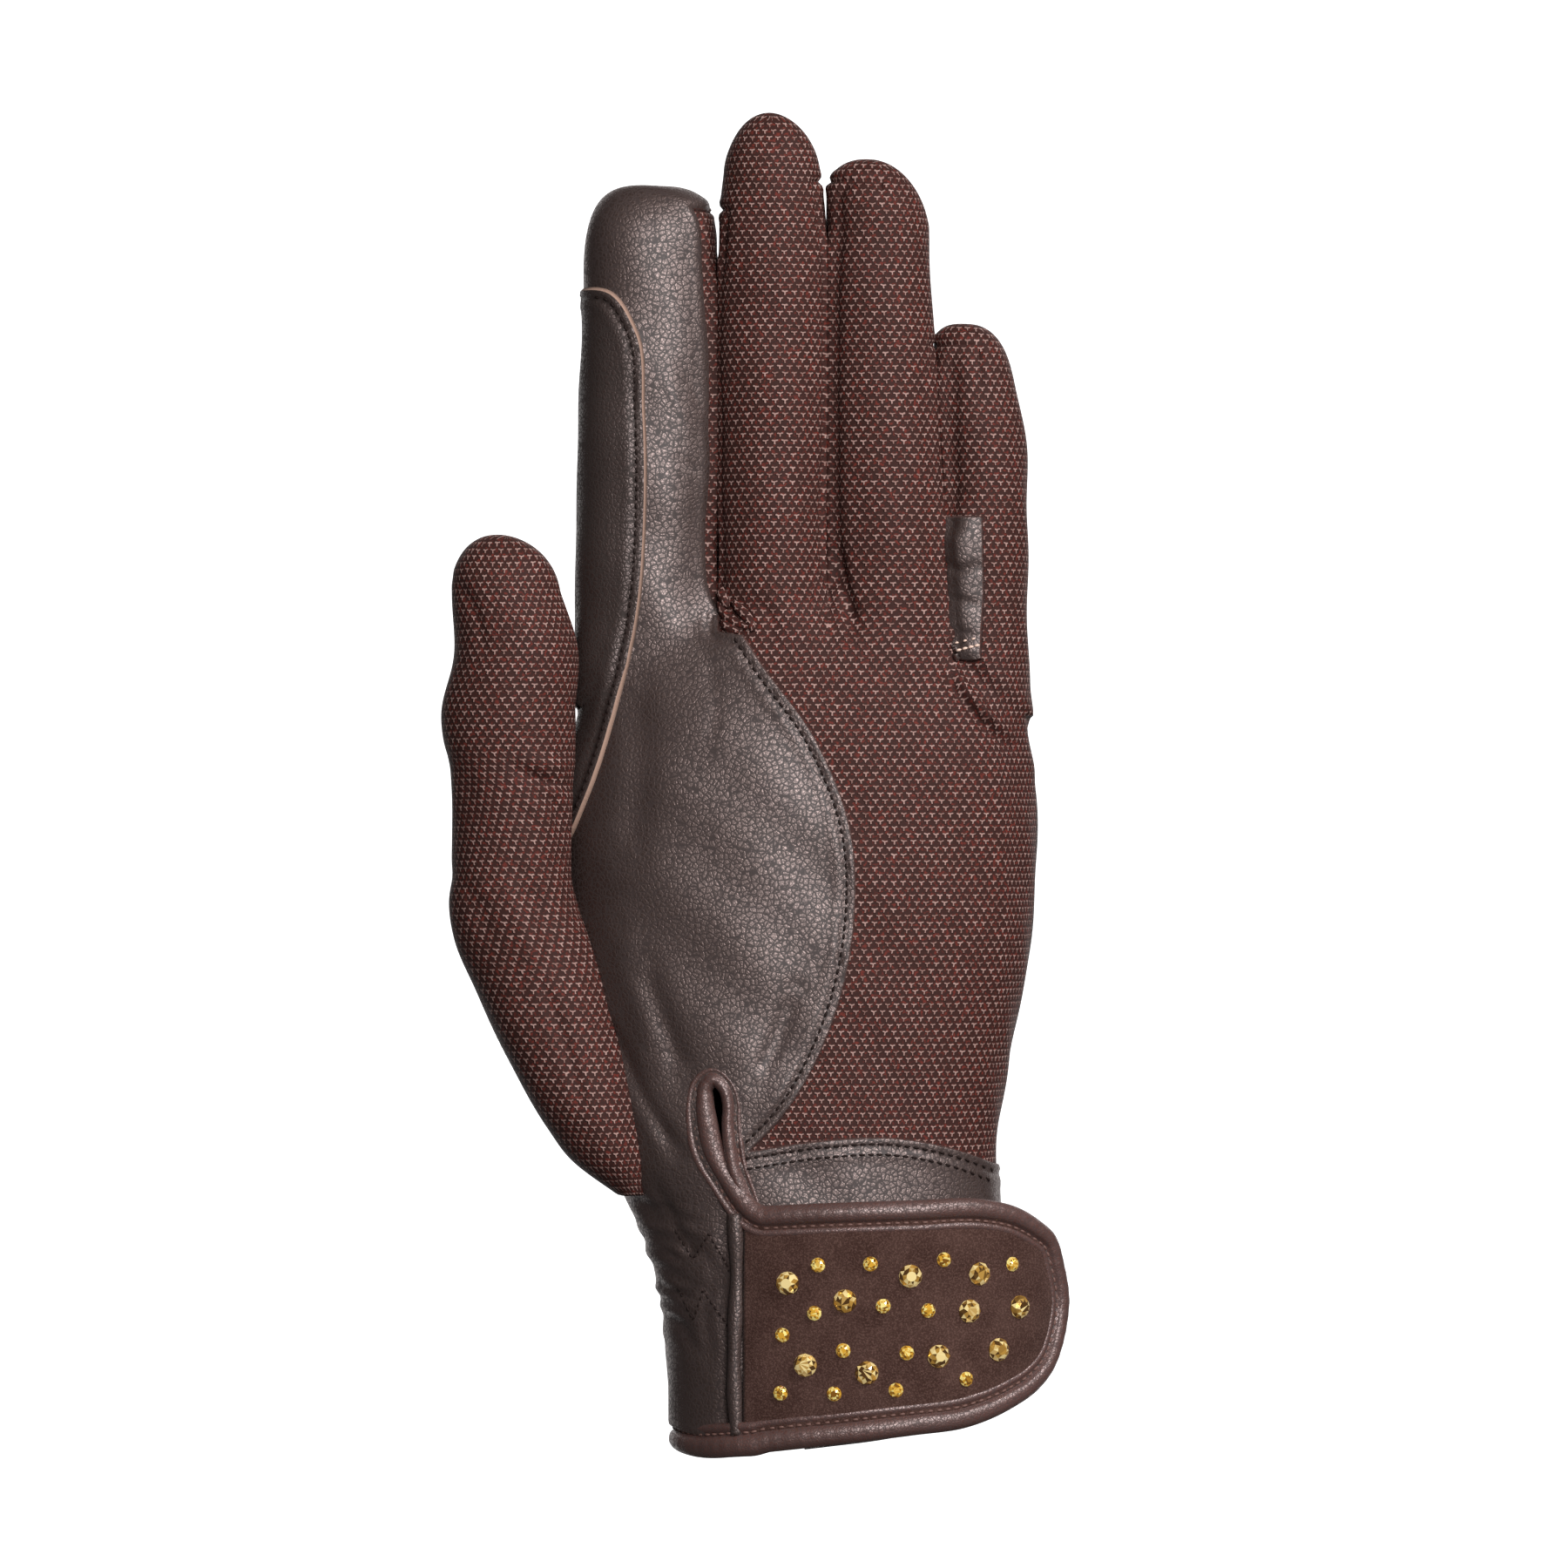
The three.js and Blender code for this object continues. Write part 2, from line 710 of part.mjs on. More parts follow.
const hemStations = Array.from({ length: hemSteps + 1 }, (_, k) =>
  hemStation(hemTurnStart + ((hemTurnEnd - hemTurnStart) * k) / hemSteps),
);

const edgeStations = [
  ...ventStations,
  ...strapStations,
  hemStation(hemTurnStart + hemTurnGap + hemTurnRun),
  hemStation(hemTurnStart + hemTurnGap),
];
const edgeSteps = 64;
const edgeSmooth = smoothStations(edgeStations, edgeSteps);
const edgeBinding = edging(edgeSmooth, 0);
const hemBinding = edging(hemStations, 0);
const bindingsGrown = edging(edgeSmooth, seamGap).add(edging(hemStations, seamGap));

// The front of the shell falls into leather, knit and wrist band, the back is the palm.
const leatherLine = [[gapX, far], [gapX, rootHeight(1.02)], ...crescentEdge, ...slitMiddle];
const bandLine = [slitMiddle[0], ...bandEdge, [far, bandEdge.at(-1)[1]]];
const bandSlit = slitMiddle.slice(1).toReversed();
function leatherRegion(grow) {
  const outline = [...offsetLine(leatherLine, seamGap / 2 - grow), [-far, -far], [-far, far]];
  return frontPrism(outline, -far, far);
}
function bandRegion(grow) {
  const outline = [...offsetLine(bandLine, seamGap / 2 - grow), [far, -far], ...bandSlit];
  return frontPrism(outline, -far, far);
}
const hemLine = [
  [-far, hemCurve[0].y],
  ...hemCurve.map((point) => [point.x, point.y]),
  [far, hemCurve.at(-1).y],
];
const belowHem = frontPrism([...hemLine, [far, -far], [-far, -far]], -far, far);
const slitOutline = [
  ...ventRightSide.toReversed(),
  ...slitRight,
  ...slitLeft.toReversed(),
  ...ventLeftSide.toReversed(),
  ...ventLoop.toReversed(),
];
const slit = frontPrism(slitOutline, -far, 0);
const frontHalf = box(-far, far, -far, sideSeamY - seamGap / 2, -far, far);
const backHalf = box(-far, far, sideSeamY + seamGap / 2, far, -far, far);
const trimmedShell = handShell.subtract(belowHem).subtract(bindingsGrown);
const frontShell = trimmedShell.intersect(frontHalf).subtract(allStrips).subtract(slit);

// Patches lie over the shell.
function patchOver(bodyGrown, outline) {
  const skin = bodyGrown(sidePatchGap + patchThickness).subtract(bodyGrown(sidePatchGap));
  return skin.intersect(frontPrism(outline, -far, sideSeamY - seamGap));
}
const sidePatchTopZ = sidePatchEdge[0][1];
const sidePatchBottomZ = sidePatchEdge.at(-1)[1];
const sidePatch = patchOver(handGrown, [...sidePatchEdge, [-far, sidePatchBottomZ], [-far, sidePatchTopZ]]);
function fingerGrown(finger) {
  return (grow) => solidOf(loft(bodyRings(finger, -grow)));
}
const { ring, little } = fingers;
const littlePatchOutline = [
  [-0.43, 0.42],
  [-0.08, 0.42],
  [-0.06, 0.2],
  [-0.08, 0.0],
  [-0.43, 0.0],
].map(([across, along]) => [little.axisX + across * little.width, little.baseZ + along * little.length]);
const littlePatch = patchOver(fingerGrown(little), littlePatchOutline)
  .intersect(box(-far, far, -far, little.axisY, -far, far))
  .subtract(fingerGrown(ring)(seamGap))
  .subtract(solidOf(loft(bodyRings(hand, -seamGap))));

// Leather's and knit's colours, and how rough they are
const leatherColor = "#6b5c5a";
const darkLeatherColor = "#45383a";
const meshColor = "#62463f";
const suedeColor = "#5e4744";
const stoneColor = "#a87c3a";
const leatherRoughness = 0.55;
const meshRoughness = 0.85;

const group = new THREE.Group();
function addPiece(name, solid, color, roughness, metalness = 0) {
  const geometry = largestOf(geometryOf(solid));
  const material = new THREE.MeshStandardMaterial({ color, roughness, metalness, flatShading: true });
  const mesh = new THREE.Mesh(geometry, material);
  mesh.name = name;
  group.add(mesh);
  return mesh;
}

const palm = trimmedShell.intersect(backHalf).subtract(allStrips);
addPiece("palm_leather", palm, darkLeatherColor, leatherRoughness);
addPiece("back_leather", frontShell.intersect(leatherRegion(0)), leatherColor, leatherRoughness);
addPiece("wrist_band", frontShell.intersect(bandRegion(0)), leatherColor, leatherRoughness);
const knit = frontShell.subtract(leatherRegion(seamGap)).subtract(bandRegion(seamGap));
addPiece("back_mesh", knit, meshColor, meshRoughness);
for (const strip of strips) {
  addPiece(strip.name, handShell.intersect(strip.region), meshColor, meshRoughness);
}
addPiece("index_side_patch", sidePatch.subtract(thumbGrown), darkLeatherColor, leatherRoughness);
addPiece("little_finger_patch", littlePatch, leatherColor, leatherRoughness);

const thumbSeamY = 0.5; // the seam along the thumb's two sides
const trimmedThumb = thumbShell.subtract(bindingsGrown);
const thumbFront = box(-far, far, -far, thumbSeamY - seamGap / 2, -far, far);
const thumbBack = box(-far, far, thumbSeamY + seamGap / 2, far, -far, far);
addPiece("thumb_mesh", trimmedThumb.intersect(thumbFront), meshColor, meshRoughness);
addPiece("thumb_leather", trimmedThumb.intersect(thumbBack), darkLeatherColor, leatherRoughness);

addPiece("edge_binding", edgeBinding, leatherColor, leatherRoughness);
addPiece("hem_binding", hemBinding, leatherColor, leatherRoughness);

// The strap's suede face lies inside its edging; its end is at the widest place of the round end.
const panelInset = bindingWidth + seamGap;
const panelEndMargin = 0.6; // short of the point where the round end closes
const panelEnd = strapLength - panelInset - panelEndMargin;
const halfThickness = strapThickness / 2;
const panelSteps = 22;
const panelBounds = (along) => strapBounds(panelInset, along);
const panel = strapPlate(0, panelEnd, panelBounds, -halfThickness, halfThickness, panelSteps);
addPiece("strap_panel", panel, suedeColor, 0.95);

// The closing pad fills the room between the strap and the wrist band.
const padStart = 30;
const padDrop = 1; // below the strap's middle
const padSteps = 5;
const padBounds = () => [-hookPadWidth / 2 - padDrop, hookPadWidth / 2 - padDrop];
const padDepth = 6;
const padHigh = -halfThickness - seamGap;
const pad = strapPlate(padStart, padStart + hookPadLength, padBounds, -padDepth, padHigh, padSteps)
  .subtract(solidOf(loft(bodyRings(hand, -seamGap))))
  .subtract(bindingsGrown);
addPiece("hook_pad", pad, darkLeatherColor, 0.9);

// A cut stone: a low back, eight crown facets and a table
const stoneFacets = 8;
function stoneGeometry(diameter) {
  const radius = diameter / 2;
  const profile = [
    [0, 0],
    [1, 0.15],
    [0.58, 0.62],
    [0, 0.62],
  ].map(([out, up]) => new THREE.Vector2(out * radius, up * radius));
  return new THREE.LatheGeometry(profile, stoneFacets);
}

// Places of the stones, as shares of the strap's length and width
const largeStones = [
  [0.13, 0.160],
  [0.29, 0.090],
  [0.47, 0.190],
  [0.67, 0.195],
  [0.64, 0.045],
  [0.8, 0.055],
  [0.73, -0.115],
  [0.55, -0.135],
  [0.35, -0.200],
  [0.18, -0.170],
];
const smallStones = [
  [0.215, 0.235],
  [0.36, 0.240],
  [0.565, 0.255],
  [0.775, 0.230],
  [0.205, 0.040],
  [0.395, 0.070],
  [0.52, 0.050],
  [0.115, -0.050],
  [0.285, -0.110],
  [0.46, -0.120],
  [0.11, -0.285],
  [0.26, -0.285],
  [0.43, -0.270],
  [0.63, -0.230],
];
function addStones(kind, places, diameter) {
  places.forEach(([alongShare, upShare], i) => {
    const along = alongShare * strapLength;
    const geometry = stoneGeometry(diameter);
    const material = new THREE.MeshStandardMaterial({ color: stoneColor, roughness: 0.15, metalness: 0.6 });
    const mesh = new THREE.Mesh(geometry, material);
    mesh.name = `stone_${kind}_${String(i + 1).padStart(2, "0")}`;
    mesh.position.copy(strapPoint(along, upShare * strapWidth, halfThickness + stoneGap));
    mesh.quaternion.setFromUnitVectors(new THREE.Vector3(0, 1, 0), strapNormal(along));
    group.add(mesh);
  });
}
addStones("large", largeStones, stoneLargeDiameter);
addStones("small", smallStones, stoneSmallDiameter);

export default group;
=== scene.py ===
import math

import bpy
import numpy as np
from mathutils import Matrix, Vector
from mathutils.bvhtree import BVHTree


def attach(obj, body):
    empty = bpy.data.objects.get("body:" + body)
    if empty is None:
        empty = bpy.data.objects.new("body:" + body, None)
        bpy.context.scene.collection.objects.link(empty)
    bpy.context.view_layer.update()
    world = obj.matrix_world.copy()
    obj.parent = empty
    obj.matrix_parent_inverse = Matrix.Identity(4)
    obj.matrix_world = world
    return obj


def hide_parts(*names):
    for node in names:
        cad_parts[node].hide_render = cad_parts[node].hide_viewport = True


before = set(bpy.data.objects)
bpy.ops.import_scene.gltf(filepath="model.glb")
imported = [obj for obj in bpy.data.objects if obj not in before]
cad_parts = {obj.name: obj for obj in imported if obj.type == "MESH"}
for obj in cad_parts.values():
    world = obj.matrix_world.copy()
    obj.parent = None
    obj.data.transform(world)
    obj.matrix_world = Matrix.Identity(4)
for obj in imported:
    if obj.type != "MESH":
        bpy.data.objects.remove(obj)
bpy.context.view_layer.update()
gridStep = 0.72  # mm between the samples of the skin

# All lengths are millimetres up to the moment a mesh is made.
glove = {
    "palmAxisX": -4, "palmWidth": 84, "handLength": 152, "hemDepth": 25, "crotchDrop": 22,
    "sideSeamY": 4, "thumbSeamY": 0.5,
    "crotches": [124.3, 126.7, 118.2],  # between index, middle, ring and little finger
    "touchTops": [190, 196, 172],  # how far up neighbouring fingers touch
}
palmAxisX, palmWidth, handLength = glove["palmAxisX"], glove["palmWidth"], glove["handLength"]
crotches, touchTops = glove["crotches"], glove["touchTops"]


def rootHeight(share):
    return share * handLength - glove["hemDepth"]


# Sections up each part: along, centre, half width, front, back (and side, dome on the hand)
handShape = {
    "axis": (palmAxisX, 0), "baseZ": -glove["hemDepth"], "length": handLength,
    "width": palmWidth, "depth": 32,
    "power": 2.4, "tipPower": 2, "tipHeight": 2, "tipShift": 0,
    "rows": [
        (-0.1, 0.108, 0.375, 0.58, 0.58, 0, 0),
        (0.112, 0.0915, 0.3725, 0.575, 0.575, 0, 0),
        (0.195, 0.0725, 0.3705, 0.565, 0.565, 0, 0),
        (0.276, 0.038, 0.383, 0.55, 0.53, 0.03, 0),
        (0.36, 0, 0.415, 0.535, 0.52, 0.08, 0),
        (0.46, -0.005, 0.446, 0.52, 0.525, 0.13, 0),
        (0.603, 0, 0.488, 0.5, 0.55, 0.16, 0),
        (0.7, -0.001, 0.499, 0.48, 0.535, 0.17, 0.1),
        (0.787, 0, 0.5, 0.455, 0.5, 0.17, 0.35),
        (0.868, -0.0005, 0.497, 0.41, 0.44, 0.15, 0.6),
        (0.928, 0, 0.488, 0.34, 0.37, 0.12, 0.8),
        (0.975, -0.0025, 0.455, 0.25, 0.26, 0.08, 0.95),
        (1, 0, 0.42, 0.12, 0.12, 0, 1),
    ],
}
fingerShapes = [
    {  # index
        "axis": (-30.95, 2.5), "baseZ": rootHeight(0.974), "length": 77.7, "width": 24.2, "depth": 19,
        "power": 2.3, "tipPower": 3, "tipShift": 0.005,
        "rows": [
            (-0.36, 0.062, 0.535, 0.47, 0.47), (-0.1, 0.05, 0.552, 0.49, 0.49),
            (0.03, 0.005, 0.495, 0.5, 0.5), (0.476, 0.019, 0.481, 0.49, 0.49),
            (0.63, 0.021, 0.465, 0.475, 0.475), (0.83, 0.018, 0.463, 0.43, 0.44),
        ],
    },
    {  # middle
        "axis": (-9, 0), "baseZ": 127, "length": 86.9, "width": 18.8, "depth": 18.5,
        "power": 2.1, "tipPower": 1.9, "tipShift": -0.01,
        "rows": [
            (-0.368, 0.025, 0.555, 0.48, 0.48), (-0.138, 0.0325, 0.5675, 0.49, 0.49),
            (-0.035, 0.04, 0.52, 0.5, 0.5), (0.04, 0.01, 0.49, 0.5, 0.5),
            (0.38, 0.005, 0.495, 0.5, 0.5), (0.696, 0.0025, 0.4975, 0.47, 0.48),
            (0.8, 0, 0.48, 0.445, 0.45), (0.875, -0.0085, 0.4385, 0.4, 0.41),
        ],
    },
    {  # ring
        "axis": (10.25, 0.5), "baseZ": 127, "length": 78.7, "width": 18.8, "depth": 18,
        "power": 2.1, "tipPower": 2.3, "tipShift": -0.12,
        "rows": [
            (-0.407, 0.03, 0.63, 0.48, 0.48), (-0.152, 0.045, 0.635, 0.49, 0.49),
            (0.04, 0.0715, 0.5665, 0.5, 0.5), (0.178, 0.053, 0.548, 0.5, 0.5),
            (0.419, 0.021, 0.516, 0.5, 0.5), (0.572, 0, 0.495, 0.49, 0.49),
            (0.849, -0.03, 0.466, 0.43, 0.44),
        ],
    },
    {  # little
        "axis": (27.7, 2.5), "baseZ": rootHeight(0.932), "length": 60, "width": 15.2, "depth": 16.5,
        "power": 2.1, "tipPower": 2.6, "tipShift": -0.13,
        "rows": [
            (-0.53, 0.053, 0.547, 0.47, 0.47), (-0.195, 0.06, 0.52, 0.49, 0.49),
            (-0.062, 0.135, 0.431, 0.5, 0.5), (0.15, 0.117, 0.429, 0.5, 0.5),
            (0.405, 0.0855, 0.4605, 0.5, 0.5), (0.638, 0.0465, 0.4865, 0.48, 0.48),
            (0.82, -0.045, 0.455, 0.43, 0.44),
        ],
    },
]
thumbShape = {
    "axis": (-55.3, -3), "baseZ": rootHeight(0.33), "length": 113.7, "width": 22, "depth": 21,
    "power": 2.1, "tipPower": 2, "tipShift": -0.06,
    "rows": [
        (-0.03, 1.0, 0.15, 0.3, 0.38), (0.026, 0.809, 0.341, 0.5, 0.58), (0.079, 0.686, 0.418, 0.56, 0.66),
        (0.185, 0.468, 0.5, 0.56, 0.68), (0.281, 0.27, 0.539, 0.54, 0.64), (0.367, 0.093, 0.557, 0.52, 0.58),
        (0.422, 0.016, 0.525, 0.5, 0.53), (0.475, 0.0045, 0.491, 0.49, 0.5), (0.612, 0.006, 0.5, 0.48, 0.49),
        (0.721, -0.022, 0.536, 0.5, 0.5), (0.827, 0.03, 0.49, 0.48, 0.48), (0.912, -0.043, 0.432, 0.43, 0.43),
    ],
}


# Rows joined by a smooth curve: values every small step between the first and the last.
def smoothTable(places, rows, samples=400):
    places, rows = np.array(places, float), np.array(rows, float)
    slopes = np.gradient(rows, places, axis=0)
    fine = np.linspace(places[0], places[-1], samples)
    k = np.clip(np.searchsorted(places, fine, side="right") - 1, 0, len(places) - 2)
    span = (places[k + 1] - places[k])[:, None]
    t = (fine - places[k])[:, None] / span
    start = (2 * t**3 - 3 * t**2 + 1) * rows[k] + (t**3 - 2 * t**2 + t) * span * slopes[k]
    end = (3 * t**2 - 2 * t**3) * rows[k + 1] + (t**3 - t**2) * span * slopes[k + 1]
    return fine, start + end


def lineRun(line):
    return np.r_[0, np.cumsum(np.linalg.norm(np.diff(line, axis=0), axis=1))]


def evenLine(line, spacing):
    run = lineRun(line)
    places = np.linspace(0, run[-1], max(2, int(round(run[-1] / spacing)) + 1))
    return np.stack([np.interp(places, run, column) for column in line.T], axis=1)


def smoothLine(points, spacing=0.6):
    points = np.array(points, float)
    return evenLine(smoothTable(lineRun(points), points)[1], spacing)


def smoothStep(value, low, high):
    t = np.clip((value - low) / (high - low), 0, 1)
    return t * t * (3 - 2 * t)


def makeBody(shape):
    rows = np.array([row + (0,) * (7 - len(row)) for row in shape["rows"]], float)
    heights = shape["baseZ"] + rows[:, 0] * shape["length"]
    width, depth = shape["width"], shape["depth"]
    values = rows[:, 1:] * [width, width, depth, depth, depth, 1]
    values[:, 0] += shape["axis"][0]
    values[:, 1] += shape.get("plump", 0)
    fine, table = smoothTable(heights, values)
    tipHeight = shape.get("tipHeight", shape["baseZ"] + shape["length"] - heights[-1])
    return {**shape, "heights": fine, "table": table, "tipHeight": tipHeight}


def tubeParts(body, x, z):
    row = z
    dome = body["table"][:, 5]
    if dome.max() > 0:
        fall = glove["crotchDrop"] * ((x - palmAxisX) / (palmWidth / 2)) ** 2
        for _ in range(8):
            row = z + fall * np.interp(row, body["heights"], dome)
    parts = [np.interp(row, body["heights"], body["table"][:, i]) for i in range(5)]
    above = np.maximum(row - body["heights"][-1], 0) / body["tipHeight"]
    return row, above, parts


# Distance outside a tube with oval sections and a round end
def tubeDistance(body, x, y, z):
    row, above, (centre, half, front, back, side) = tubeParts(body, x, z)
    dx = x - centre - body["tipShift"] * body["width"] * np.minimum(above, 1)
    dy = y - body["axis"][1] - side
    depth = np.where(dy > 0, back - side, front + side)
    a, b = np.abs(dx) / half, np.abs(dy) / depth
    n, p = body["power"], body["tipPower"]
    q = np.maximum((a**n + b**n) ** (1 / n), 0.02)
    steep = np.hypot(a ** (n - 1) / half, b ** (n - 1) / depth) * q ** (1 - n)
    whole = (q**p + above**p) ** (1 / p)
    steep = np.hypot(steep * (q / whole) ** (p - 1), (above / whole) ** (p - 1) / body["tipHeight"])
    return np.maximum((whole - 1) / np.maximum(steep, 0.02), body["heights"][0] - row)


def smoothMin(a, b, reach):
    h = np.maximum(reach - np.abs(a - b), 0) / reach
    return np.minimum(a, b) - h * h * reach / 4


handBody = makeBody(handShape)
fingerBodies = [makeBody({**shape, "plump": 0.3}) for shape in fingerShapes]  # side by side they touch
thumbBody = makeBody(thumbShape)


def gapLine(i, z):
    if i < 2:
        return np.full_like(z, (-18.63, 0.62)[i])
    return np.interp(z, (125, 141, 155, 166, 176), (22.6, 21.8, 20.85, 20.2, 19.8))


# Distance outside the hand with its four fingers. With own, the number of each point's finger,
# the other fingers don't count above the crotches.
def handDistance(x, y, z, own=None):
    nearest = np.full_like(x, 40.0)
    for i, body in enumerate(fingerBodies):
        near = (np.abs(x - body["axis"][0]) < body["width"] / 2 + 9) & (z > body["heights"][0] - 6)
        d = tubeDistance(body, x[near], y[near], z[near])
        sink = 1 - smoothStep(z[near], body["baseZ"] - 28, body["baseZ"] - 6)
        d = d + 4 * sink  # the root sinks into the hand
        for gap in (i - 1, i):
            if 0 <= gap < 3:  # behind the front the fingers press together
                reach = np.exp(-(((x[near] - gapLine(gap, z[near])) / 2.2) ** 2))
                top = 1 - smoothStep(z[near], touchTops[gap] - 8, touchTops[gap])
                reach *= smoothStep(y[near], -6.5, -2) * top
                d = d - 1.3 * reach
        if own is not None:
            crotch = np.where(own[near] < i, crotches[max(i - 1, 0)], crotches[min(i, 2)])
            d = d + np.where(own[near] == i, 0, 2.5 * np.maximum(z[near] - crotch, 0))
        nearest[near] = np.minimum(nearest[near], d)
    return smoothMin(tubeDistance(handBody, x, y, z), nearest, 5)


# The thumb stays clear of the hand above the fork and goes into it below.
def thumbDistance(x, y, z):
    clear = np.interp(z, (63, 77), (-6, 1.0))
    a, b = tubeDistance(thumbBody, x, y, z), clear - handDistance(x, y, z)
    return -smoothMin(-a, -b, 1.5)


corners = [(i, j, k) for i in (0, 1) for j in (0, 1) for k in (0, 1)]


# A net of quads where the sampled values change sign: one point in each cell the surface crosses
def netSurface(values, low, step):
    inside = values < 0
    shape = np.array(values.shape) - 1
    count = 0
    for i, j, k in corners:
        count = count + inside[i:shape[0] + i, j:shape[1] + j, k:shape[2] + k].astype(np.uint8)
    cells = np.argwhere((count > 0) & (count < 8))
    number = np.full(count.shape, -1, np.int32)
    number[tuple(cells.T)] = np.arange(len(cells))
    corner = {c: values[tuple((cells + c).T)] for c in corners}
    total, hits = np.zeros((len(cells), 3)), np.zeros(len(cells))
    for axis in range(3):
        unit = np.eye(3, dtype=int)[axis]
        for c in corners:
            if c[axis] == 0:
                va, vb = corner[c], corner[tuple(np.add(c, unit))]
                cross = (va < 0) != (vb < 0)
                t = np.where(cross, va / np.where(cross, va - vb, 1), 0)
                total += cross[:, None] * (np.array(c) + t[:, None] * unit)
                hits += cross
    points = np.array(low) + step * (cells + total / hits[:, None])
    quads = []
    for axis in range(3):
        u, v = (axis + 1) % 3, (axis + 2) % 3
        first, second = [np.take(inside, range(s, inside.shape[axis] - 1 + s), axis) for s in (0, 1)]
        places = np.argwhere(first != second)
        for side in (u, v):
            places = places[(places[:, side] > 0) & (places[:, side] < shape[side])]
        ring = []
        for du, dv in ((1, 1), (0, 1), (0, 0), (1, 0)):
            cell = places.copy()
            cell[:, u] -= du
            cell[:, v] -= dv
            ring.append(number[tuple(cell.T)])
        ring = np.stack(ring, axis=1)
        outward = first[tuple(places.T)]
        quads += [ring[outward], ring[~outward][:, ::-1]]
    return points, np.vstack(quads)


def quadsToTriangles(points, quads):
    a = np.linalg.norm(points[quads[:, 0]] - points[quads[:, 2]], axis=1)
    b = np.linalg.norm(points[quads[:, 1]] - points[quads[:, 3]], axis=1)
    first, second = quads[a <= b], quads[a > b]
    return np.vstack([first[:, [0, 1, 2]], first[:, [0, 2, 3]], second[:, [1, 2, 3]], second[:, [1, 3, 0]]])


def fieldNormal(field, p, reach=0.12):
    g = np.stack([field(*(p + e).T) - field(*(p - e).T) for e in np.eye(3) * reach], axis=1)
    return g / np.maximum(np.linalg.norm(g, axis=1), 1e-9)[:, None]


def settleOn(field, p):
    normal = fieldNormal(field, p)
    for _ in range(2):
        p = p - np.clip(field(*p.T), -1, 1)[:, None] * normal
    return p, fieldNormal(field, p)


def sampleGrid(field, low, high, step):
    axes = [np.arange(a, b + step, step) for a, b in zip(low, high)]
    grid = np.meshgrid(*axes, indexing="ij")
    return field(*(g.ravel() for g in grid)).reshape(grid[0].shape)


# The skin of hand and fingers. The samples are spread apart between the fingers, so that
# fingers lying side by side stay apart.
def handSkin(step):
    spread = 2.2 * step
    low, high = (-48, -21, -29), (46 + 3 * spread, 23, 218)

    def gapsAt(z):
        widths = [spread * smoothStep(z, crotch + 0.5, crotch + 3.5) for crotch in crotches]
        starts, shift = [], 0
        for i, width in enumerate(widths):
            starts.append(gapLine(i, z) + shift)
            shift = shift + width
        return starts, widths

    def spreadField(xw, y, z):
        starts, widths = gapsAt(z)
        x = xw - sum(np.clip(xw - start, 0, width) for start, width in zip(starts, widths))
        d = handDistance(x, y, z)
        for start, width in zip(starts, widths):
            between = (xw > start) & (xw < start + width) & (width > 0.5 * spread)
            d = np.where(between, np.maximum(d, 0.1), d)
        return d

    points, quads = netSurface(sampleGrid(spreadField, low, high, step), low, step)
    starts, widths = gapsAt(points[:, 2])
    xw = points[:, 0].copy()
    points[:, 0] -= sum(np.clip(xw - start, 0, width) for start, width in zip(starts, widths))
    own = sum((xw > start + width / 2).astype(int) for start, width in zip(starts, widths))
    triangles = quadsToTriangles(points, quads)
    points, normals = settleOn(lambda x, y, z: handDistance(x, y, z, own), points)
    for i, crotch in enumerate(crotches):
        above = points[:, 2] > crotch + 2
        gap = gapLine(i, points[:, 2])
        for side, limit in ((i, np.minimum), (i + 1, np.maximum)):
            mine = above & (own == side)
            points[mine, 0] = limit(points[mine, 0], gap[mine] + (0.03 if side > i else -0.03))
    return points, normals, own, triangles


def thumbSkin(step):
    low, high = (-72, -19, 18), (-20, 17, 142)
    points, quads = netSurface(sampleGrid(thumbDistance, low, high, step), low, step)
    triangles = quadsToTriangles(points, quads)
    points, normals = settleOn(thumbDistance, points)
    return points, normals, np.full(len(points), 4), triangles


# Signed distance to a line drawn in the front view, positive on the right of its run
def lineDistance(x, z, line):
    best, side = np.full_like(x, 1e9), np.ones_like(x)
    for (ax, az), (bx, bz) in zip(line[:-1], line[1:]):
        dx, dz = bx - ax, bz - az
        length = math.hypot(dx, dz)
        t = np.clip(((x - ax) * dx + (z - az) * dz) / length**2, 0, 1)
        ox, oz = x - ax - t * dx, z - az - t * dz
        d = ox * ox + oz * oz
        s = (ox * dz - oz * dx) / length
        closer = (d < best - 1e-9) | ((d < best + 1e-9) & (np.abs(s) > np.abs(side)))
        best, side = np.where(closer, d, best), np.where(closer, s, side)
    return np.sign(side) * np.sqrt(best)


def frontCurve(shares):
    return [(palmAxisX + across * palmWidth, rootHeight(along)) for across, along in shares]


# Places on the hand's back, as shares of the palm's width from its middle and of the hand's length
crescentEdge = frontCurve([
    (-0.123, 0.959), (-0.09, 0.93), (0.029, 0.837), (0.104, 0.726),
    (0.11, 0.633), (0.057, 0.501), (-0.045, 0.399), (-0.113, 0.36),
])
bandEdge = frontCurve([(-0.113, 0.36), (0.05, 0.373), (0.2, 0.375), (0.33, 0.36), (0.44, 0.335)])
sidePatchEdge = frontCurve([
    (-0.6, 1.368), (-0.47, 1.365), (-0.405, 1.36), (-0.35, 1.315), (-0.334, 1.22), (-0.332, 1.1),
    (-0.345, 0.995), (-0.385, 0.885), (-0.45, 0.77), (-0.5, 0.71), (-0.6, 0.66),
])
vent = {"topShare": 0.445, "axisX": -19, "height": 22}


def ventCurve(shares):
    topZ = rootHeight(vent["topShare"])
    return [(vent["axisX"] + across * vent["height"], topZ + up * vent["height"]) for across, up in shares]


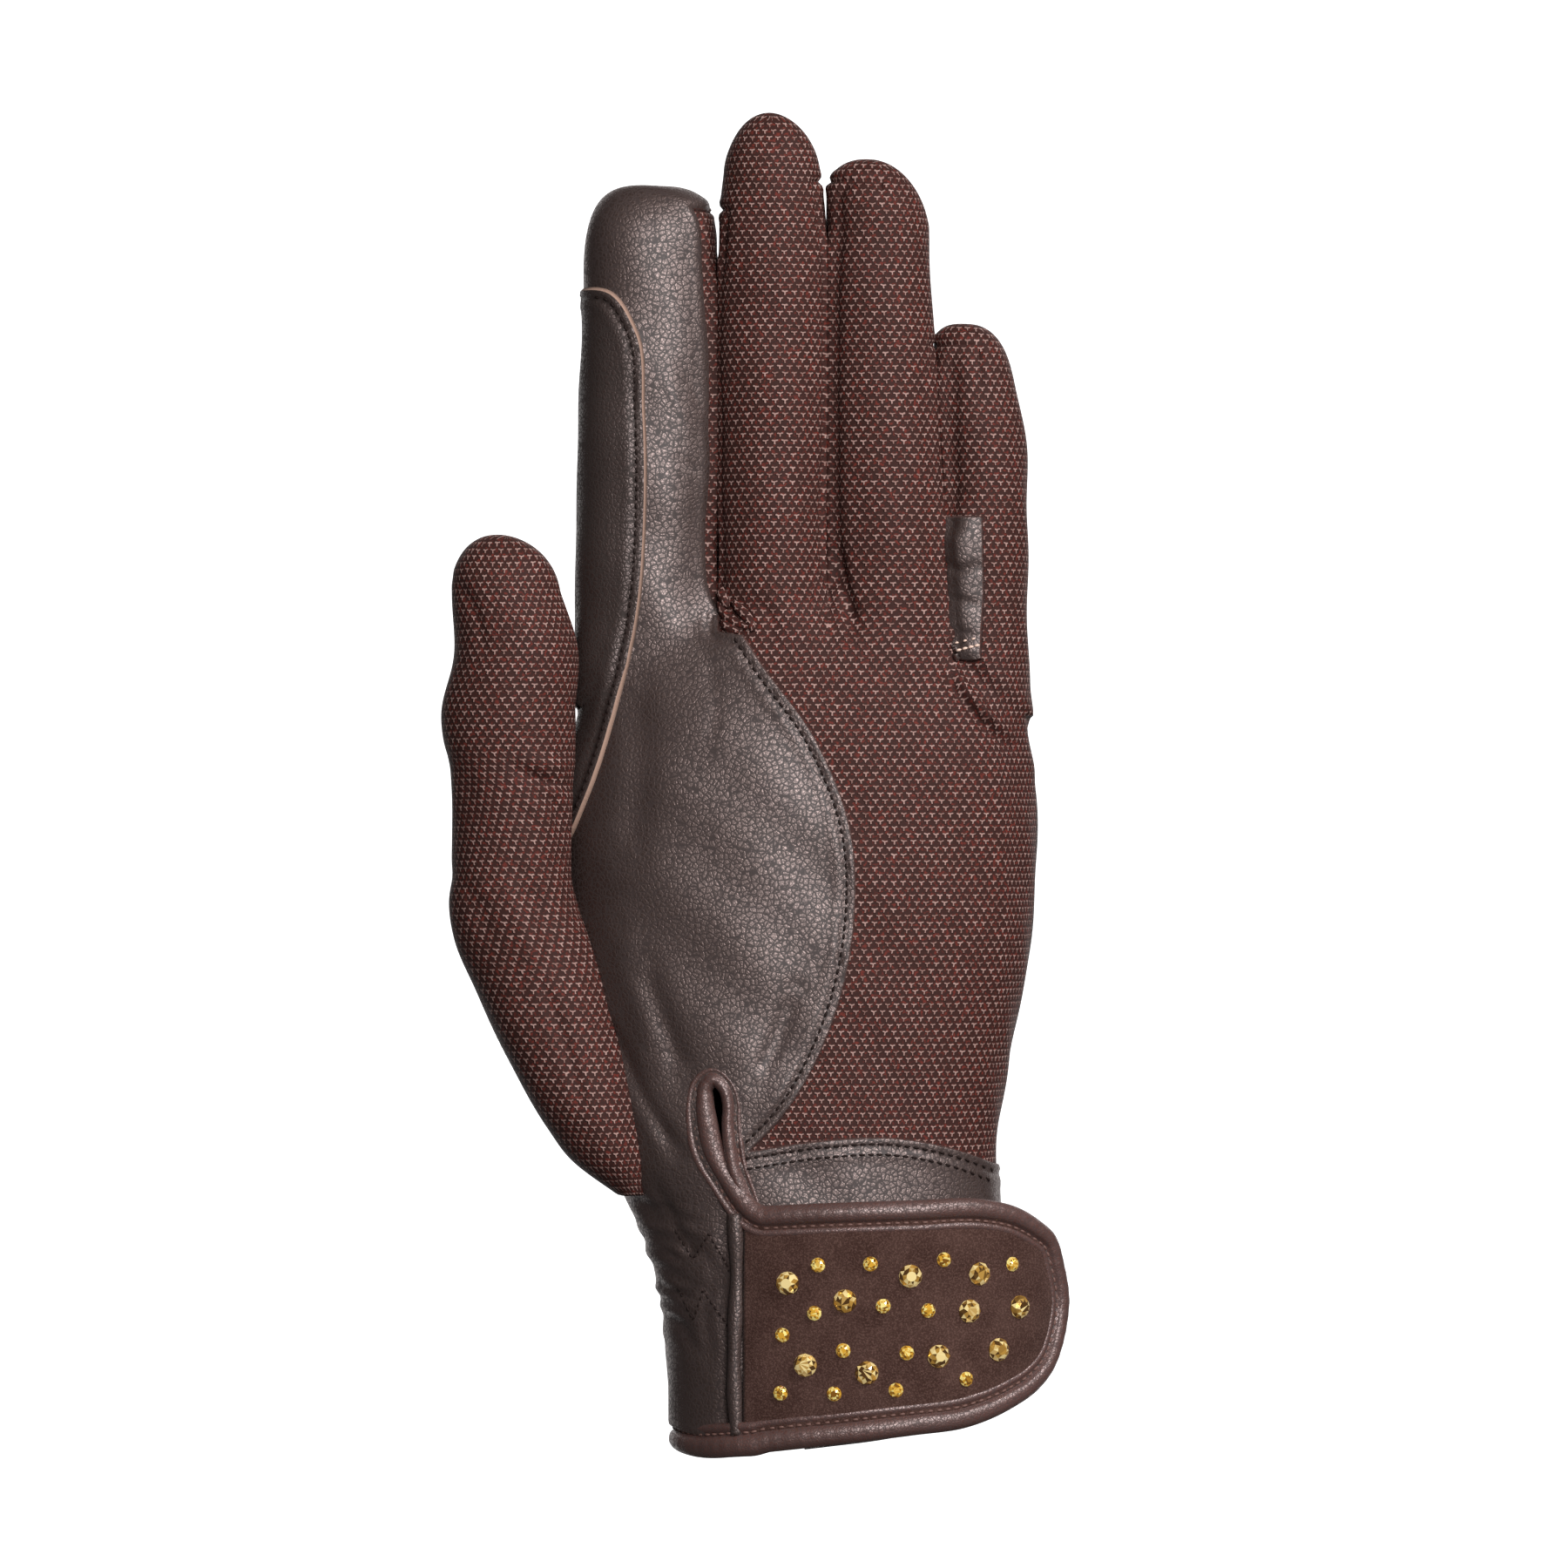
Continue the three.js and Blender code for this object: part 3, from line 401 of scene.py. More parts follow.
ventRightSide = ventCurve([(0.17, -0.7), (0.145, -0.55), (0.125, -0.36), (0.125, -0.2)])
ventLoop = ventCurve([(0.075, -0.05), (-0.02, 0.02), (-0.11, -0.05)])
ventLeftSide = ventCurve([(-0.13, -0.18), (-0.115, -0.36), (-0.07, -0.57), (0.035, -0.78)])
slitRight = ventCurve([(0.29, -1.02), (0.45, -1.36), (0.57, -1.9), (0.58, -4)])
slitLeft = ventCurve([(0.315, -1.08), (0.32, -1.9), (0.32, -4)])
slitOutline = ventRightSide[::-1] + slitRight + slitLeft[::-1] + ventLeftSide[::-1] + ventLoop[::-1]
slitLine = np.array(slitOutline + slitOutline[:1])
hemLine = smoothLine([
    (palmAxisX + across * palmWidth, height * 25)
    for across, height in [
        (-0.6, -0.7), (-0.3, -0.78), (-0.262, -0.84), (-0.22, -0.87), (-0.12, -0.85), (0.05, -0.79),
        (0.2, -0.72), (0.33, -0.61), (0.44, -0.48), (0.5, -0.4), (0.6, -0.3),
    ]
])
crescentLine = smoothLine(crescentEdge)
bandLine = smoothLine(bandEdge)
sidePatchLine = smoothLine(sidePatchEdge)
gapX = -18.63
knitLine = np.vstack([[(gapX, 260), (gapX, 121.4)], crescentLine, bandLine[1:], [(80, 24)]])
littlePatchLine = [
    (27.7 + across * 15.2, rootHeight(0.932) + along * 60)
    for across, along in [(-0.6, 0.42), (0.02, 0.42), (0.04, 0.2), (0, 0), (-0.6, 0), (-0.6, 0.42)]
]
cuffLine = [(34, 70), (-13.5, 29.7), (-15.5, 28), (-15.3, 22.4), (-12.8, 19.5), (-9.3, 0.8), (-9.1, -60)]


def stripField(i, p, own):
    x, y, z = p.T
    left, right = fingerBodies[i], fingerBodies[i + 1]
    (lx, ly), (rx, ry) = left["axis"], right["axis"]
    t = (x - lx) / (rx - lx)
    front, back = y - (ly - 3 + t * (ry - ly - 3.6)), (ly + 5 + t * (ry - ly)) - y
    lowZ = min(left["baseZ"], right["baseZ"]) - 6
    highZ = min(left["baseZ"] + left["length"], right["baseZ"] + right["length"]) - 4
    inside = np.minimum.reduce([front, back, x - lx, rx - x, z - lowZ, highZ - z])
    return np.where((own == i) | (own == i + 1), inside, np.minimum(inside, -1))


def leatherField(p, own):
    x, y, z = p.T
    above = z > crotches[0] + 1
    return np.where(above, np.where(own == 0, 3, -3), lineDistance(x, z, knitLine))


# Which side of each seam a point lies on: the panels are cut along the zero lines.
seams = {
    "side": lambda p, own: glove["sideSeamY"] - p[:, 1],
    "strip0": lambda p, own: stripField(0, p, own),
    "strip1": lambda p, own: stripField(1, p, own),
    "strip2": lambda p, own: stripField(2, p, own),
    "leather": leatherField,
    "band": lambda p, own: -lineDistance(p[:, 0], p[:, 2], cuffLine),
    "sidePatch": lambda p, own: lineDistance(p[:, 0], p[:, 2], sidePatchLine),
    "littlePatch": lambda p, own: np.where(
        (own == 3) & (p[:, 1] < 2.5), lineDistance(p[:, 0], p[:, 2], littlePatchLine), -3
    ),
    "slit": lambda p, own: np.where(p[:, 1] < 0, lineDistance(p[:, 0], p[:, 2], slitLine), -3),
    "hem": lambda p, own: p[:, 2] - np.interp(p[:, 0], *hemLine.T) - 1.5,
}
thumbSeams = {
    "side": lambda p, own: glove["thumbSeamY"] - p[:, 1],
    "outside": lambda p, own: handDistance(*p.T) + 1,
}


def triangleEdges(triangles):
    return np.vstack([triangles[:, [0, 1]], triangles[:, [1, 2]], triangles[:, [2, 0]]])


def borderEdges(triangles):
    edges = triangleEdges(triangles)
    _, first, count = np.unique(np.sort(edges, axis=1), axis=0, return_index=True, return_counts=True)
    return edges[first[count == 1]]


# Cuts triangles along the line where the values are zero. Corners close to the line move onto it.
def splitAlong(data, triangles, values):
    values = values.copy()
    edges = np.unique(np.sort(triangleEdges(triangles), axis=1), axis=0)
    crossed = edges[(values[edges[:, 0]] > 0) != (values[edges[:, 1]] > 0)]
    t = values[crossed[:, 0]] / (values[crossed[:, 0]] - values[crossed[:, 1]])
    places = data[crossed[:, 0]] + t[:, None] * (data[crossed[:, 1]] - data[crossed[:, 0]])
    total, hits = np.zeros_like(data), np.zeros(len(data))
    for end, near in ((0, t < 0.25), (1, t > 0.75)):
        np.add.at(total, crossed[near, end], places[near])
        np.add.at(hits, crossed[near, end], 1)
    moved = hits > 0
    data = data.copy()
    data[moved] = total[moved] / hits[moved][:, None]
    side = np.sign(values).astype(int)
    side[moved] = 0
    corner = side[triangles]
    mixed = (corner.min(1) < 0) & (corner.max(1) > 0)
    kept, cut, corner = triangles[~mixed], triangles[mixed], corner[mixed]
    hasZero = (corner == 0).any(1)

    turn = np.argmax(corner == 0, axis=1)[hasZero]
    three = cut[hasZero]
    z, p, m = [np.take_along_axis(three, (turn[:, None] + k) % 3, 1)[:, 0] for k in range(3)]
    four, corner = cut[~hasZero], corner[~hasZero]
    lone = np.where(corner.sum(1) < 0, np.argmax(corner > 0, axis=1), np.argmax(corner < 0, axis=1))
    a, b, c = [np.take_along_axis(four, (lone[:, None] + k) % 3, 1)[:, 0] for k in range(3)]

    ends = np.vstack([np.stack([p, m], 1), np.stack([a, b], 1), np.stack([a, c], 1)])
    pairs, place = np.unique(np.sort(ends, axis=1), axis=0, return_inverse=True)
    place = place.reshape(-1) + len(data)
    t = values[pairs[:, 0]] / (values[pairs[:, 0]] - values[pairs[:, 1]])
    new = data[pairs[:, 0]] + t[:, None] * (data[pairs[:, 1]] - data[pairs[:, 0]])
    pm, ab, ac = np.split(place, [len(p), len(p) + len(a)])
    stacks = [(z, p, pm), (z, pm, m), (a, ab, ac), (ab, b, c), (ab, c, ac)]
    return np.vstack([data, new]), np.vstack([kept] + [np.stack(s, 1) for s in stacks])


# Where the knit's rows and columns run: millimetres round each part and along it
def knitPlace(p, own):
    x, y, z = p.T
    turn = np.linspace(-math.pi / 2, math.pi / 2, 181)

    def around(body, low, high):
        centre, half = [np.interp(np.clip(z, low, high), body["heights"], body["table"][:, i]) for i in (0, 1)]
        ratio = body["depth"] / body["width"]
        run = lineRun(np.stack([np.sin(turn), ratio * np.cos(turn)], axis=1))
        share = (x - centre) / half
        length = np.interp(np.clip(share, -0.9, 0.9), np.sin(turn), run - run[90]) * body["width"] / 2
        behind = np.maximum(y - body["axis"][1] + 0.218 * body["depth"], 0)  # past nine tenths of the width
        behind += np.maximum(np.abs(share) - 0.9, 0) * half
        return length + np.sign(share) * behind + body["axis"][0]

    hand = around(handBody, -99, 100)
    u = hand.copy()
    for i, body in enumerate(fingerBodies):
        mine = own == i
        u[mine] = (hand + smoothStep(z, 106, 130) * (around(body, 118, 300) - hand))[mine]
    thumb = own == 4
    if thumb.any():
        lean = np.radians(np.interp(z, (60, 100), (-14, 0)))
        u[thumb] = (around(thumbBody, -99, 300) * np.cos(lean) + z * np.sin(lean))[thumb]
    return np.stack([u, z], axis=1)


def addMesh(name, points, triangles, uv=None, smooth=True):
    mesh = bpy.data.meshes.new(name)
    mesh.vertices.add(len(points))
    mesh.vertices.foreach_set("co", (np.asarray(points) * 0.001).astype(np.float32).ravel())
    triangles = np.asarray(triangles, np.int32)
    mesh.loops.add(triangles.size)
    mesh.loops.foreach_set("vertex_index", triangles.ravel())
    mesh.polygons.add(len(triangles))
    mesh.polygons.foreach_set("loop_start", np.arange(0, triangles.size, triangles.shape[1], dtype=np.int32))
    mesh.polygons.foreach_set("use_smooth", np.full(len(triangles), smooth))
    if uv is not None:
        layer = mesh.uv_layers.new(name="weave")
        layer.data.foreach_set("uv", uv[triangles.ravel()].astype(np.float32).ravel())
    mesh.validate()
    piece = bpy.data.objects.new(name, mesh)
    bpy.context.scene.collection.objects.link(piece)
    return piece


# Every shown piece rides on the glove's one body, takes the material it is given and hides the model's parts it
# replaces.
def place(piece, slotName, material, *nodes):
    piece.data.materials.clear()
    piece.data.materials.append(material)
    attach(piece, "root")
    if nodes:
        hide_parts(*nodes)
    return piece


# The cut edge of the side patch shows its undyed fibres. The other edges are turned in.
def markRim(piece, count, material):
    piece.data.materials.append(material)
    index = np.zeros(len(piece.data.polygons), np.int32)
    index[-count:] = 1
    piece.data.polygons.foreach_set("material_index", index)


# A panel cut from the skin: its own corners, lifted off the skin, with a cut edge that shows as
# a narrow slope and, near the wrist's opening, an inner face. The last faces are the cut edge.
def cutPanel(data, triangles, keep, lift, thickness, innerBelow, slope=0.0):
    used, index = np.unique(triangles[keep], return_inverse=True)
    triangles = index.reshape(-1, 3)
    points, normals, uv = data[used, :3], data[used, 3:6], data[used, 6:8]
    border = borderEdges(triangles)
    outward = np.zeros_like(points)
    across = np.cross(points[border[:, 1]] - points[border[:, 0]], normals[border[:, 0]])
    for k in range(2):
        np.add.at(outward, border[:, k], across)
    outward /= np.maximum(np.linalg.norm(outward, axis=1), 1e-9)[:, None]
    height = np.full(len(points), float(lift))
    height[np.unique(border)] -= 0.08
    outer = points + normals * height[:, None]
    foot = points + normals * (lift - 0.08 - min(thickness, lift + 0.1)) + outward * slope
    inner = points + normals * (lift - thickness)
    n, m = len(points), len(border)
    low = points[triangles][:, :, 2].max(1) < innerBelow
    rim = np.vstack([layer[border[:, k]] for layer in (outer, foot, inner) for k in (0, 1)])
    a, b, c, d, e, f = 2 * n + np.arange(6 * m).reshape(6, m)
    slopes = [np.stack(corner, 1) for corner in ((b, a, c), (b, c, d), (d, c, e), (d, e, f))]
    faces = np.vstack([triangles, triangles[low][:, ::-1] + n] + slopes)
    places = np.vstack([outer, inner, rim])
    weave = np.vstack([uv, uv] + [uv[border[:, k]] for k in (0, 1, 0, 1, 0, 1)])
    used, index = np.unique(faces, return_inverse=True)
    return places[used], index.reshape(-1, 3), weave[used], 4 * m


# Folds, creases and ridges of the worn glove, as lines in the front view with their height and width
folds = [
    ([(-44.2, 58.9), (-36.9, 49.9), (-31.8, 39.5), (-25.9, 29.8)], -0.9, 1.5),
    ([(-46.5, 63), (-39.5, 54), (-34.4, 43.5), (-28.6, 33)], 0.55, 2.0),
    ([(-31.9, 62.6), (-28, 52), (-25, 43.5)], -0.7, 2.2),
    ([(-36, 70), (-32, 58), (-29.5, 47)], 0.4, 3.0),
    ([(-5.1, 58), (-8, 50), (-11.5, 42.5)], -0.6, 2.0),
    ([(-41.5, 40), (-38, 30), (-34, 22), (-27, 16)], -0.8, 1.8),
    ([(-40, 30), (-35.5, 22), (-30, 17)], 0.5, 1.6),
    ([(-36.5, 22), (-30, 19.5), (-25.5, 20.5)], -0.55, 0.9),
    ([(-30, 24), (-25, 15), (-22, 10)], -0.5, 1.2),
    ([(-25.5, 168.5), (-21.2, 159.8), (-20.2, 154)], -0.3, 0.9),
    ([(-27.5, 166), (-23.8, 157.5)], 0.2, 1.0),
    ([(-26, 152.5), (-21.5, 149.5)], -0.25, 0.7),
    ([(-20.5, 117), (-19, 109), (-20, 101)], -0.16, 1.4),
    ([(-39, 118), (-36, 100), (-38.5, 84)], 0.3, 3.5),
    ([(-33.5, 112), (-32.5, 98), (-34, 82)], -0.4, 3.0),
    ([(22.3, 116), (25.5, 111), (30, 106), (33.5, 103)], 1.15, 0.9),
    ([(22, 113), (25.6, 108.6), (29.8, 103.6), (33, 101)], -1.0, 0.9),
    ([(24.5, 118), (28, 113), (33, 108.5)], -0.4, 1.1),
    ([(2.2, 136), (3.2, 131), (4.4, 126.5), (5.4, 122.5)], -1.5, 1.1),
    ([(1.6, 127), (2.6, 123.5)], 0.35, 1.0),
    ([(-12, 127), (-9.5, 124.5), (-9, 120)], -0.4, 1.0),
    # the little finger's patch is puffed up, with creases across it
    ([(24.0, 141), (24.3, 130), (24.4, 119)], 2.0, 2.4),
    ([(22, 134.2), (25, 132.6), (27.6, 133.2)], -0.75, 0.7),
    ([(22, 126.5), (24.8, 127.4), (27.4, 126.2)], -0.55, 0.7),
    ([(22.5, 121), (25.2, 121.8), (27.4, 120.6)], -0.4, 0.6),
    ([(-14.6, 19), (-15.1, 8), (-14.9, -6), (-14.9, -22)], 1.25, 0.75),
    ([(-17.0, 19), (-17.4, 8), (-17.2, -6), (-17.2, -22)], -0.45, 1.3),
    ([(-29, 13), (-24.5, 11), (-22.5, 13.5)], -0.6, 0.8),
    ([(-30.5, 8), (-26, 4.5), (-21.5, 6)], -0.55, 0.9),
    ([(-30, 2), (-25, -1.5), (-22, -5.5)], -0.5, 1.1),
    ([(-28.5, 5.5), (-24, 2.5), (-20.5, 3)], 0.45, 1.0),
    ([(-22.5, 14), (-19.5, 9.5), (-20.5, 2), (-19.5, -8)], -0.35, 1.2),
]
thumbFolds = [
    ([(-54.2, 97.2), (-49.5, 95.2), (-45.6, 94.2)], -1.3, 0.8),
    ([(-52.5, 99.6), (-48.5, 98), (-45.2, 98.2)], 0.6, 1.1),
    ([(-50.5, 93.5), (-47.5, 91), (-46.2, 86)], -0.8, 0.9),
    ([(-53, 93), (-50, 89), (-48.5, 83)], 0.45, 1.4),
    ([(-65, 131), (-61.5, 125), (-60, 118)], -0.5, 0.9),
    ([(-66.3, 99), (-63.5, 96), (-62.5, 90)], -0.45, 1.6),
    ([(-65, 78), (-61.5, 74), (-58.5, 66)], -0.5, 1.8),
    ([(-53, 78), (-49.5, 70), (-47.2, 61)], -0.7, 1.6),
    ([(-55.5, 76), (-52.2, 67), (-49.5, 58)], 0.4, 1.8),
    ([(-50.5, 62), (-46, 50), (-42.5, 38)], -0.55, 1.2),
    ([(-57, 58), (-52, 46), (-47, 36)], 0.35, 2.5),
]


# A sewn edge sinks a little and the cloth beside it stands up.
def seamRelief(d, swell, groove, width):
    return swell * np.exp(-((np.abs(d) - 1.3) / 0.7) ** 2) - groove * np.exp(-((d / width) ** 2))


# Low waves all over, and the folds
def reliefOf(p, lines):
    x, y, z = p.T
    height = 0.16 * np.sin(x / 4.3 + z / 9.1) * np.sin(z / 6.7 - x / 15)
    height = height + 0.1 * np.sin(z / 3.1 + x / 2.7 + y / 2)
    for points, lift, width in lines:
        line = smoothLine(points, 1.2)
        (lowX, lowZ), (highX, highZ) = line.min(0) - 3 * width, line.max(0) + 3 * width
        near = (y < 3) & (x > lowX) & (x < highX) & (z > lowZ) & (z < highZ)
        d = lineDistance(x[near], z[near], line)
        toEnds = [np.hypot(x[near] - endX, z[near] - endZ) for endX, endZ in line[[0, -1]]]
        run = np.clip(np.minimum.reduce(toEnds) / 3, 0, 1)
        fade = (0.35 + 0.65 * run) * (1 - smoothStep(y[near], -1.5, 3))
        height[near] += lift * np.exp(-((d / width) ** 2)) * fade
    return height


def handRelief(p, own):
    height = reliefOf(p, folds)
    x, y, z = p.T
    for i in range(3):
        d = stripField(i, p, own)
        near = (np.abs(d) < 3) & (y < 3)
        height[near] += seamRelief(d[near], 0.18, 0.55, 0.45)
    d = glove["sideSeamY"] - y
    height += np.where(np.abs(d) < 3, seamRelief(d, 0.1, 0.3, 0.5), 0)
    # leather edges: a lip, the sewn groove and a low swelling
    for line in (knitLine, sidePatchLine):
        d = lineDistance(x, z, line)
        near = (np.abs(d) < 5) & (y < 3) & ~((z > crotches[0] + 1) & (line is knitLine))
        swell = 0.15 * np.exp(-((d[near] - 2.8) / 0.9) ** 2) + 0.22 * np.exp(-((d[near] - 0.5) / 0.45) ** 2)
        height[near] += swell - 0.34 * np.exp(-((d[near] - 1.4) / 0.42) ** 2)
    # gathers on the cuff's thumb side
    window = smoothStep(x, -36, -31) * (1 - smoothStep(x, -26, -20))
    window = window * smoothStep(z, -8, 2) * (1 - smoothStep(z, 16, 24))
    wave = np.sin(z * 1.3 + 0.9 * np.sin(z / 2.9) + 0.6 * np.sin(x / 2)) + 0.4 * np.sin(z * 2.3 + x)
    height += np.where(y < 6, 0.24 * window * wave, 0)
    return height


def thumbRelief(p, own):
    return reliefOf(p, thumbFolds) + seamRelief(p[:, 1] - glove["thumbSeamY"], 0.15, 0.5, 0.5)


# How much the skin is evened out over the index finger's knuckle
def knuckleShare(points, own):
    x, y, z = points.T
    share = smoothStep(z, 92, 104) * (1 - smoothStep(z, 134, 146)) * (1 - smoothStep(y, -6, -1))
    share *= (1 - smoothStep(x, -22, -19)) * (own == 0)
    return 0.5 * share


# Evens out the creases where the index finger's root meets the hand.
def relax(points, triangles, share, rounds):
    edges = np.unique(np.sort(triangleEdges(triangles), axis=1), axis=0)
    edges = edges[(share[edges] > 0).any(1)]
    ends, others = np.r_[edges[:, 0], edges[:, 1]], np.r_[edges[:, 1], edges[:, 0]]
    count = np.maximum(np.bincount(ends, minlength=len(points)), 1)
    for _ in range(rounds):
        total = [np.bincount(ends, column[others], len(points)) for column in points.T]
        points = points + share[:, None] * (np.stack(total, axis=1) / count[:, None] - points)
    return points


# On the front of the hand: the point over each place of the front view, and the way out of the skin
def onSkin(x, z, lift=0.0):
    x, z = np.asarray(x, float), np.asarray(z, float)
    out, within = np.full_like(x, -30), np.full_like(x, 2)
    for _ in range(24):
        half = (out + within) / 2
        inside = handDistance(x, half, z) < 0
        within, out = np.where(inside, half, within), np.where(inside, out, half)
    points = np.stack([x, within, z], axis=1)
    normals = fieldNormal(handDistance, points, 0.4)
    relief = handRelief(points, np.zeros(len(x)))
    return points + normals * (relief + lift)[:, None], normals


def splitAt(data, triangles, fields):
    for field in fields.values():
        values = field(data[:, :3], np.round(data[:, 8]))
        data, triangles = splitAlong(data, triangles, values)
    middle = data[triangles].mean(1)
    sides = {name: field(middle[:, :3], np.round(middle[:, 8])) > 0 for name, field in fields.items()}
    return data, triangles, sides


def newMaterial(name, color, roughness):
    material = bpy.data.materials.new(name)
    material.use_nodes = True
    shader = material.node_tree.nodes["Principled BSDF"]
    shader.inputs["Base Color"].default_value = (*color, 1)
    shader.inputs["Roughness"].default_value = roughness
    return material, material.node_tree, shader


def addNode(tree, kind, inputs=(), **settings):
    node = tree.nodes.new("ShaderNode" + kind)
    for name, value in settings.items():
        setattr(node, name, value)
    for name, value in dict(inputs).items():
        if isinstance(value, bpy.types.NodeSocket):
            tree.links.new(value, node.inputs[name])
        else:
            node.inputs[name].default_value = value
    return node


def calc(tree, operation, *values):
    return addNode(tree, "Math", enumerate(values), operation=operation).outputs[0]


def soften(tree, value, low, high, newLow=0.0, newHigh=1.0):
    inputs = {"Value": value, "From Min": low, "From Max": high, "To Min": newLow, "To Max": newHigh}
    return addNode(tree, "MapRange", inputs, interpolation_type="SMOOTHSTEP").outputs[0]


def blend(tree, share, a, b):
    mix = addNode(tree, "Mix", data_type="RGBA")
    for socket, value in ((mix.inputs[0], share), (mix.inputs[6], a), (mix.inputs[7], b)):
        if isinstance(value, bpy.types.NodeSocket):
            tree.links.new(value, socket)
        else:
            socket.default_value = value if socket is mix.inputs[0] else (*value, 1)
    return mix.outputs[2]


def inMillimetres(tree):
    place = addNode(tree, "TexCoord").outputs["Object"]
    return addNode(tree, "VectorMath", {0: place, "Scale": 1000}, operation="SCALE").outputs[0]


def noise(tree, place, scale, detail=2.0):
    return addNode(tree, "TexNoise", {"Vector": place, "Scale": scale, "Detail": detail}).outputs["Fac"]


def addBump(tree, shader, height, depth, strength=1.0):
    inputs = {"Height": height, "Distance": depth * 0.001, "Strength": strength}
    tree.links.new(addNode(tree, "Bump", inputs).outputs[0], shader.inputs["Normal"])


# Goat leather: rounded pebbles with fine creases between them, the creases painted dark as their shade
def leather(name, look):
    material, tree, shader = newMaterial(name, look["color"], look["roughness"])
    place = inMillimetres(tree)
    bend = addNode(tree, "TexNoise", {"Vector": place, "Scale": 0.45, "Detail": 2.0}).outputs["Color"]
    bend = addNode(tree, "VectorMath", {0: bend, "Scale": 0.7}, operation="SCALE").outputs[0]
    bent = addNode(tree, "VectorMath", {0: place, 1: bend}, operation="ADD").outputs[0]
    pebbles, creases = [], []
    for size in (look["grain"], look["grain"] * 0.5):
        cell = addNode(tree, "TexVoronoi", {"Vector": bent, "Scale": 1 / size}, feature="DISTANCE_TO_EDGE")
        pebbles.append(soften(tree, cell.outputs["Distance"], 0.0, 0.26))
        creases.append(soften(tree, cell.outputs["Distance"], 0.02, 0.16))
    shares = [calc(tree, "MULTIPLY", pebble, share) for pebble, share in zip(pebbles, (0.72, 0.28))]
    height = calc(tree, "ADD", *shares)
    small = soften(tree, creases[1], 0, 1, 0.45, 1)
    top = calc(tree, "MULTIPLY", creases[0], small)
    patchy = soften(tree, noise(tree, place, 0.11, 3.0), 0.3, 0.7)
    tone = blend(tree, patchy, look["color"], look["lightColor"])
    # The creases get painted shade; the pebble tops keep the leather's mottled tone.
    tree.links.new(blend(tree, top, look["creaseShadeColor"], tone), shader.inputs["Base Color"])
    tree.links.new(soften(tree, top, 0, 1, 0.95, look["roughness"]), shader.inputs["Roughness"])
    addBump(tree, shader, height, look["depth"])
    shader.inputs["Specular IOR Level"].default_value = look["gloss"]
    shader.inputs["Specular Tint"].default_value = (*look["shine"], 1)
    shader.inputs["Coat Weight"].default_value = look["wax"]
    shader.inputs["Coat Roughness"].default_value = 0.42
    shader.inputs["Coat Tint"].default_value = (*look["shine"], 1)
    return material


# Knit with staggered raised stitches, each shaped like a small Y, over holes painted dark as their shade, with
# painted red glints
def knitted(name, look):
    material, tree, shader = newMaterial(name, look["yarnColor"], look["roughness"])
    weave = addNode(tree, "UVMap", uv_map="weave").outputs[0]
    place = inMillimetres(tree)
    wobble = addNode(tree, "TexNoise", {"Vector": place, "Scale": 0.9, "Detail": 1.0}).outputs["Color"]
    wobble = addNode(tree, "VectorMath", {0: wobble, "Scale": 0.35}, operation="SCALE").outputs[0]
    weave = addNode(tree, "VectorMath", {0: weave, 1: wobble}, operation="ADD").outputs[0]
    axes = addNode(tree, "SeparateXYZ", {0: weave})
    across = calc(tree, "DIVIDE", axes.outputs[0], look["across"])
    along = calc(tree, "DIVIDE", axes.outputs[1], look["along"])
    row = calc(tree, "FLOOR", along)
    across = calc(tree, "ADD", across, calc(tree, "FRACT", calc(tree, "MULTIPLY", row, 0.5)))
    cell = addNode(tree, "CombineXYZ", {0: calc(tree, "FLOOR", across), 1: row}).outputs[0]
    shade = addNode(tree, "TexWhiteNoise", {"Vector": cell}, noise_dimensions="2D").outputs["Value"]
    x = calc(tree, "SUBTRACT", calc(tree, "FRACT", across), 0.5)
    x = calc(tree, "MULTIPLY", calc(tree, "ABSOLUTE", x), look["across"])
    y = calc(tree, "MULTIPLY", calc(tree, "SUBTRACT", calc(tree, "FRACT", along), 0.45), look["along"])

    def toBar(ax, ay, bx, by):
        dx, dy = bx - ax, by - ay
        px, py = calc(tree, "SUBTRACT", x, ax), calc(tree, "SUBTRACT", y, ay)
        dot = calc(tree, "ADD", calc(tree, "MULTIPLY", px, dx), calc(tree, "MULTIPLY", py, dy))
        share = addNode(tree, "Clamp", {0: calc(tree, "DIVIDE", dot, dx * dx + dy * dy)}).outputs[0]
        ox = calc(tree, "SUBTRACT", px, calc(tree, "MULTIPLY", share, dx))
        oy = calc(tree, "SUBTRACT", py, calc(tree, "MULTIPLY", share, dy))
        square = calc(tree, "ADD", calc(tree, "MULTIPLY", ox, ox), calc(tree, "MULTIPLY", oy, oy))
        return calc(tree, "SQRT", square)

    far = calc(tree, "MINIMUM", toBar(0, 0.1, 0.42, 0.22), toBar(0, 0.1, 0, -0.36))
    fray = noise(tree, place, 2.6, 2.0)
    yarn = soften(tree, calc(tree, "ADD", far, calc(tree, "MULTIPLY", fray, 0.2)), 0.17, 0.34, 1.0, 0.0)
    # Painted shade fills the holes between the stitches, with painted red glints scattered in it.
    glint = soften(tree, noise(tree, place, 1.7, 1.0), 0.5, 0.75)
    holeShadeAndGlint = blend(tree, glint, look["holeShadeColor"], look["glintColor"])
    thread = blend(tree, calc(tree, "MULTIPLY", shade, fray), look["yarnColor"], look["lightColor"])
    tree.links.new(blend(tree, yarn, holeShadeAndGlint, thread), shader.inputs["Base Color"])
    addBump(tree, shader, yarn, look["depth"])
    shader.inputs["Specular IOR Level"].default_value = look["gloss"]
    shader.inputs["Sheen Weight"].default_value = look["sheen"]
    shader.inputs["Sheen Roughness"].default_value = 0.5
    shader.inputs["Sheen Tint"].default_value = (*look["lightColor"], 1)
    return material


